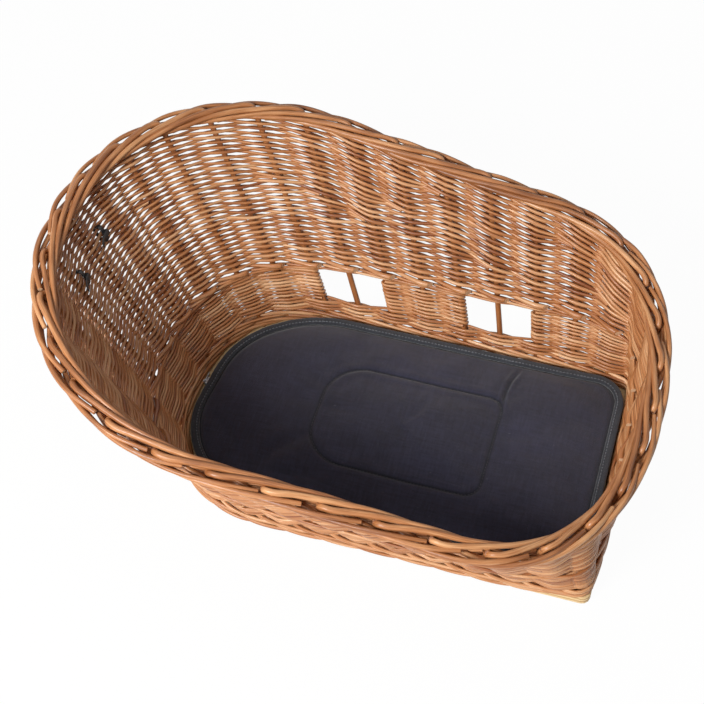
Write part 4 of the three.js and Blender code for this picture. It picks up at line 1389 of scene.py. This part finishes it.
def cable_tie(place):
    """Loop, head and cut tail."""
    depth = tie_half_depth(place) + TIE_THICKNESS / 2
    loop = []
    for x_side, z_side, start in ((1, 1, 0), (-1, 1, 90), (-1, -1, 180), (1, -1, 270)):
        x = x_side * (depth - TIE_CORNER)
        z = z_side * (TIE_HALF_HEIGHT - TIE_CORNER)
        for turn in np.radians(np.linspace(start, start + 90, 7)):
            loop.append((x + TIE_CORNER * math.cos(turn), 0, z + TIE_CORNER * math.sin(turn)))
    loop.append(loop[0])
    t = np.linspace(0, 1, 12)
    tail = np.stack([-depth - 3.2 - 3.0 * t ** 2, 1.5 + 14.5 * t, 1.0 * t - 4.0 * t ** 2], 1)
    mesh = bmesh.new()
    for points, faces in (
        strap(loop, (0, 1, 0), TIE_WIDTH, TIE_THICKNESS),
        strap(tail, (0, 0, 1), TIE_TAIL_WIDTH, TIE_TAIL_THICKNESS),
    ):
        verts = [mesh.verts.new(p) for p in points]
        for face in faces:
            mesh.faces.new([verts[i] for i in face])
    head = bmesh.ops.create_cube(mesh, size=1.0)
    bmesh.ops.scale(mesh, vec=TIE_HEAD_SIZE, verts=head["verts"])
    bmesh.ops.translate(mesh, vec=(-depth - 2.0, 0, 0), verts=head["verts"])
    edges = list({e for v in head["verts"] for e in v.link_edges})
    bmesh.ops.bevel(mesh, geom=edges, offset=0.8, segments=3, affect="EDGES", profile=0.5)
    bmesh.ops.recalc_face_normals(mesh, faces=mesh.faces)
    mesh.transform(tie_matrix(place))
    data = bpy.data.meshes.new("cable_tie")
    mesh.to_mesh(data)
    mesh.free()
    data.shade_smooth()
    return data


for number, tie_place in enumerate(TIE_PLACES, 1):
    finish_object(
        f"cable_tie_strap_{number}", cable_tie(tie_place), black_nylon,
        "basket", [f"cable_tie_{number}"],
    )


# Floor, light and camera, in metres apart from the floor's corners.

FLOOR_REACH = 6000
FLOOR_Z = -0.5
floor_plan = np.array([(-1, -1), (1, -1), (1, 1), (-1, 1)]) * FLOOR_REACH
floor_mesh = skin("floor", lift(floor_plan, FLOOR_Z), [(0, 1, 2, 3)])
floor = bpy.data.objects.new("floor", floor_mesh)
floor_mesh.materials.append(floor_material())
bpy.context.scene.collection.objects.link(floor)

# Each light's name, place, size and power in watts.
LIGHTS = (
    ("key", (-0.75, -1.72, 1.62), 0.9, 67),
    ("top", (-0.2, -0.1, 2.2), 1.2, 6),
    ("front", (0.3, -2.0, 0.5), 1.4, 2),
)
LIGHT_AIM = (0, 0, 0.1)
for name, location, size, power in LIGHTS:
    lamp_data = bpy.data.lights.new(name, "AREA")
    lamp_data.shape = "DISK"
    lamp_data.size = size
    lamp_data.energy = power
    lamp = bpy.data.objects.new(name, lamp_data)
    lamp.location = location
    lamp.rotation_euler = (Vector(LIGHT_AIM) - Vector(location)).to_track_quat("-Z", "Y").to_euler()
    bpy.context.scene.collection.objects.link(lamp)

SKY_LIGHT = 0.13
world = bpy.data.worlds.new("studio")
bpy.context.scene.world = world
sky = Nodes(world)
background = sky.tree.nodes["Background"]
background.inputs["Color"].default_value = (1, 1, 1, 1)
sky.feed(background.inputs["Strength"], sky.span(sky.seen_directly(), 0, 1, SKY_LIGHT, 1.0))

IMAGE_WIDTH = 704
FOCAL_PIXELS = 1600
SENSOR_WIDTH = 36
CAMERA_PLACE = (0.2482, -0.9400, 1.4341)
CAMERA_RIGHT = (0.9588, 0.2836, -0.0156)
CAMERA_UP = (-0.2162, 0.7645, 0.6073)
CAMERA_BACK = (0.1842, -0.5790, 0.7943)
camera_data = bpy.data.cameras.new("camera")
camera_data.sensor_width = SENSOR_WIDTH
camera_data.lens = SENSOR_WIDTH * FOCAL_PIXELS / IMAGE_WIDTH
camera = bpy.data.objects.new("camera", camera_data)
rotation = Matrix((CAMERA_RIGHT, CAMERA_UP, CAMERA_BACK)).transposed().to_4x4()
camera.matrix_world = Matrix.Translation(CAMERA_PLACE) @ rotation
bpy.context.scene.collection.objects.link(camera)
bpy.context.scene.camera = camera
bpy.context.scene.view_settings.view_transform = "Standard"
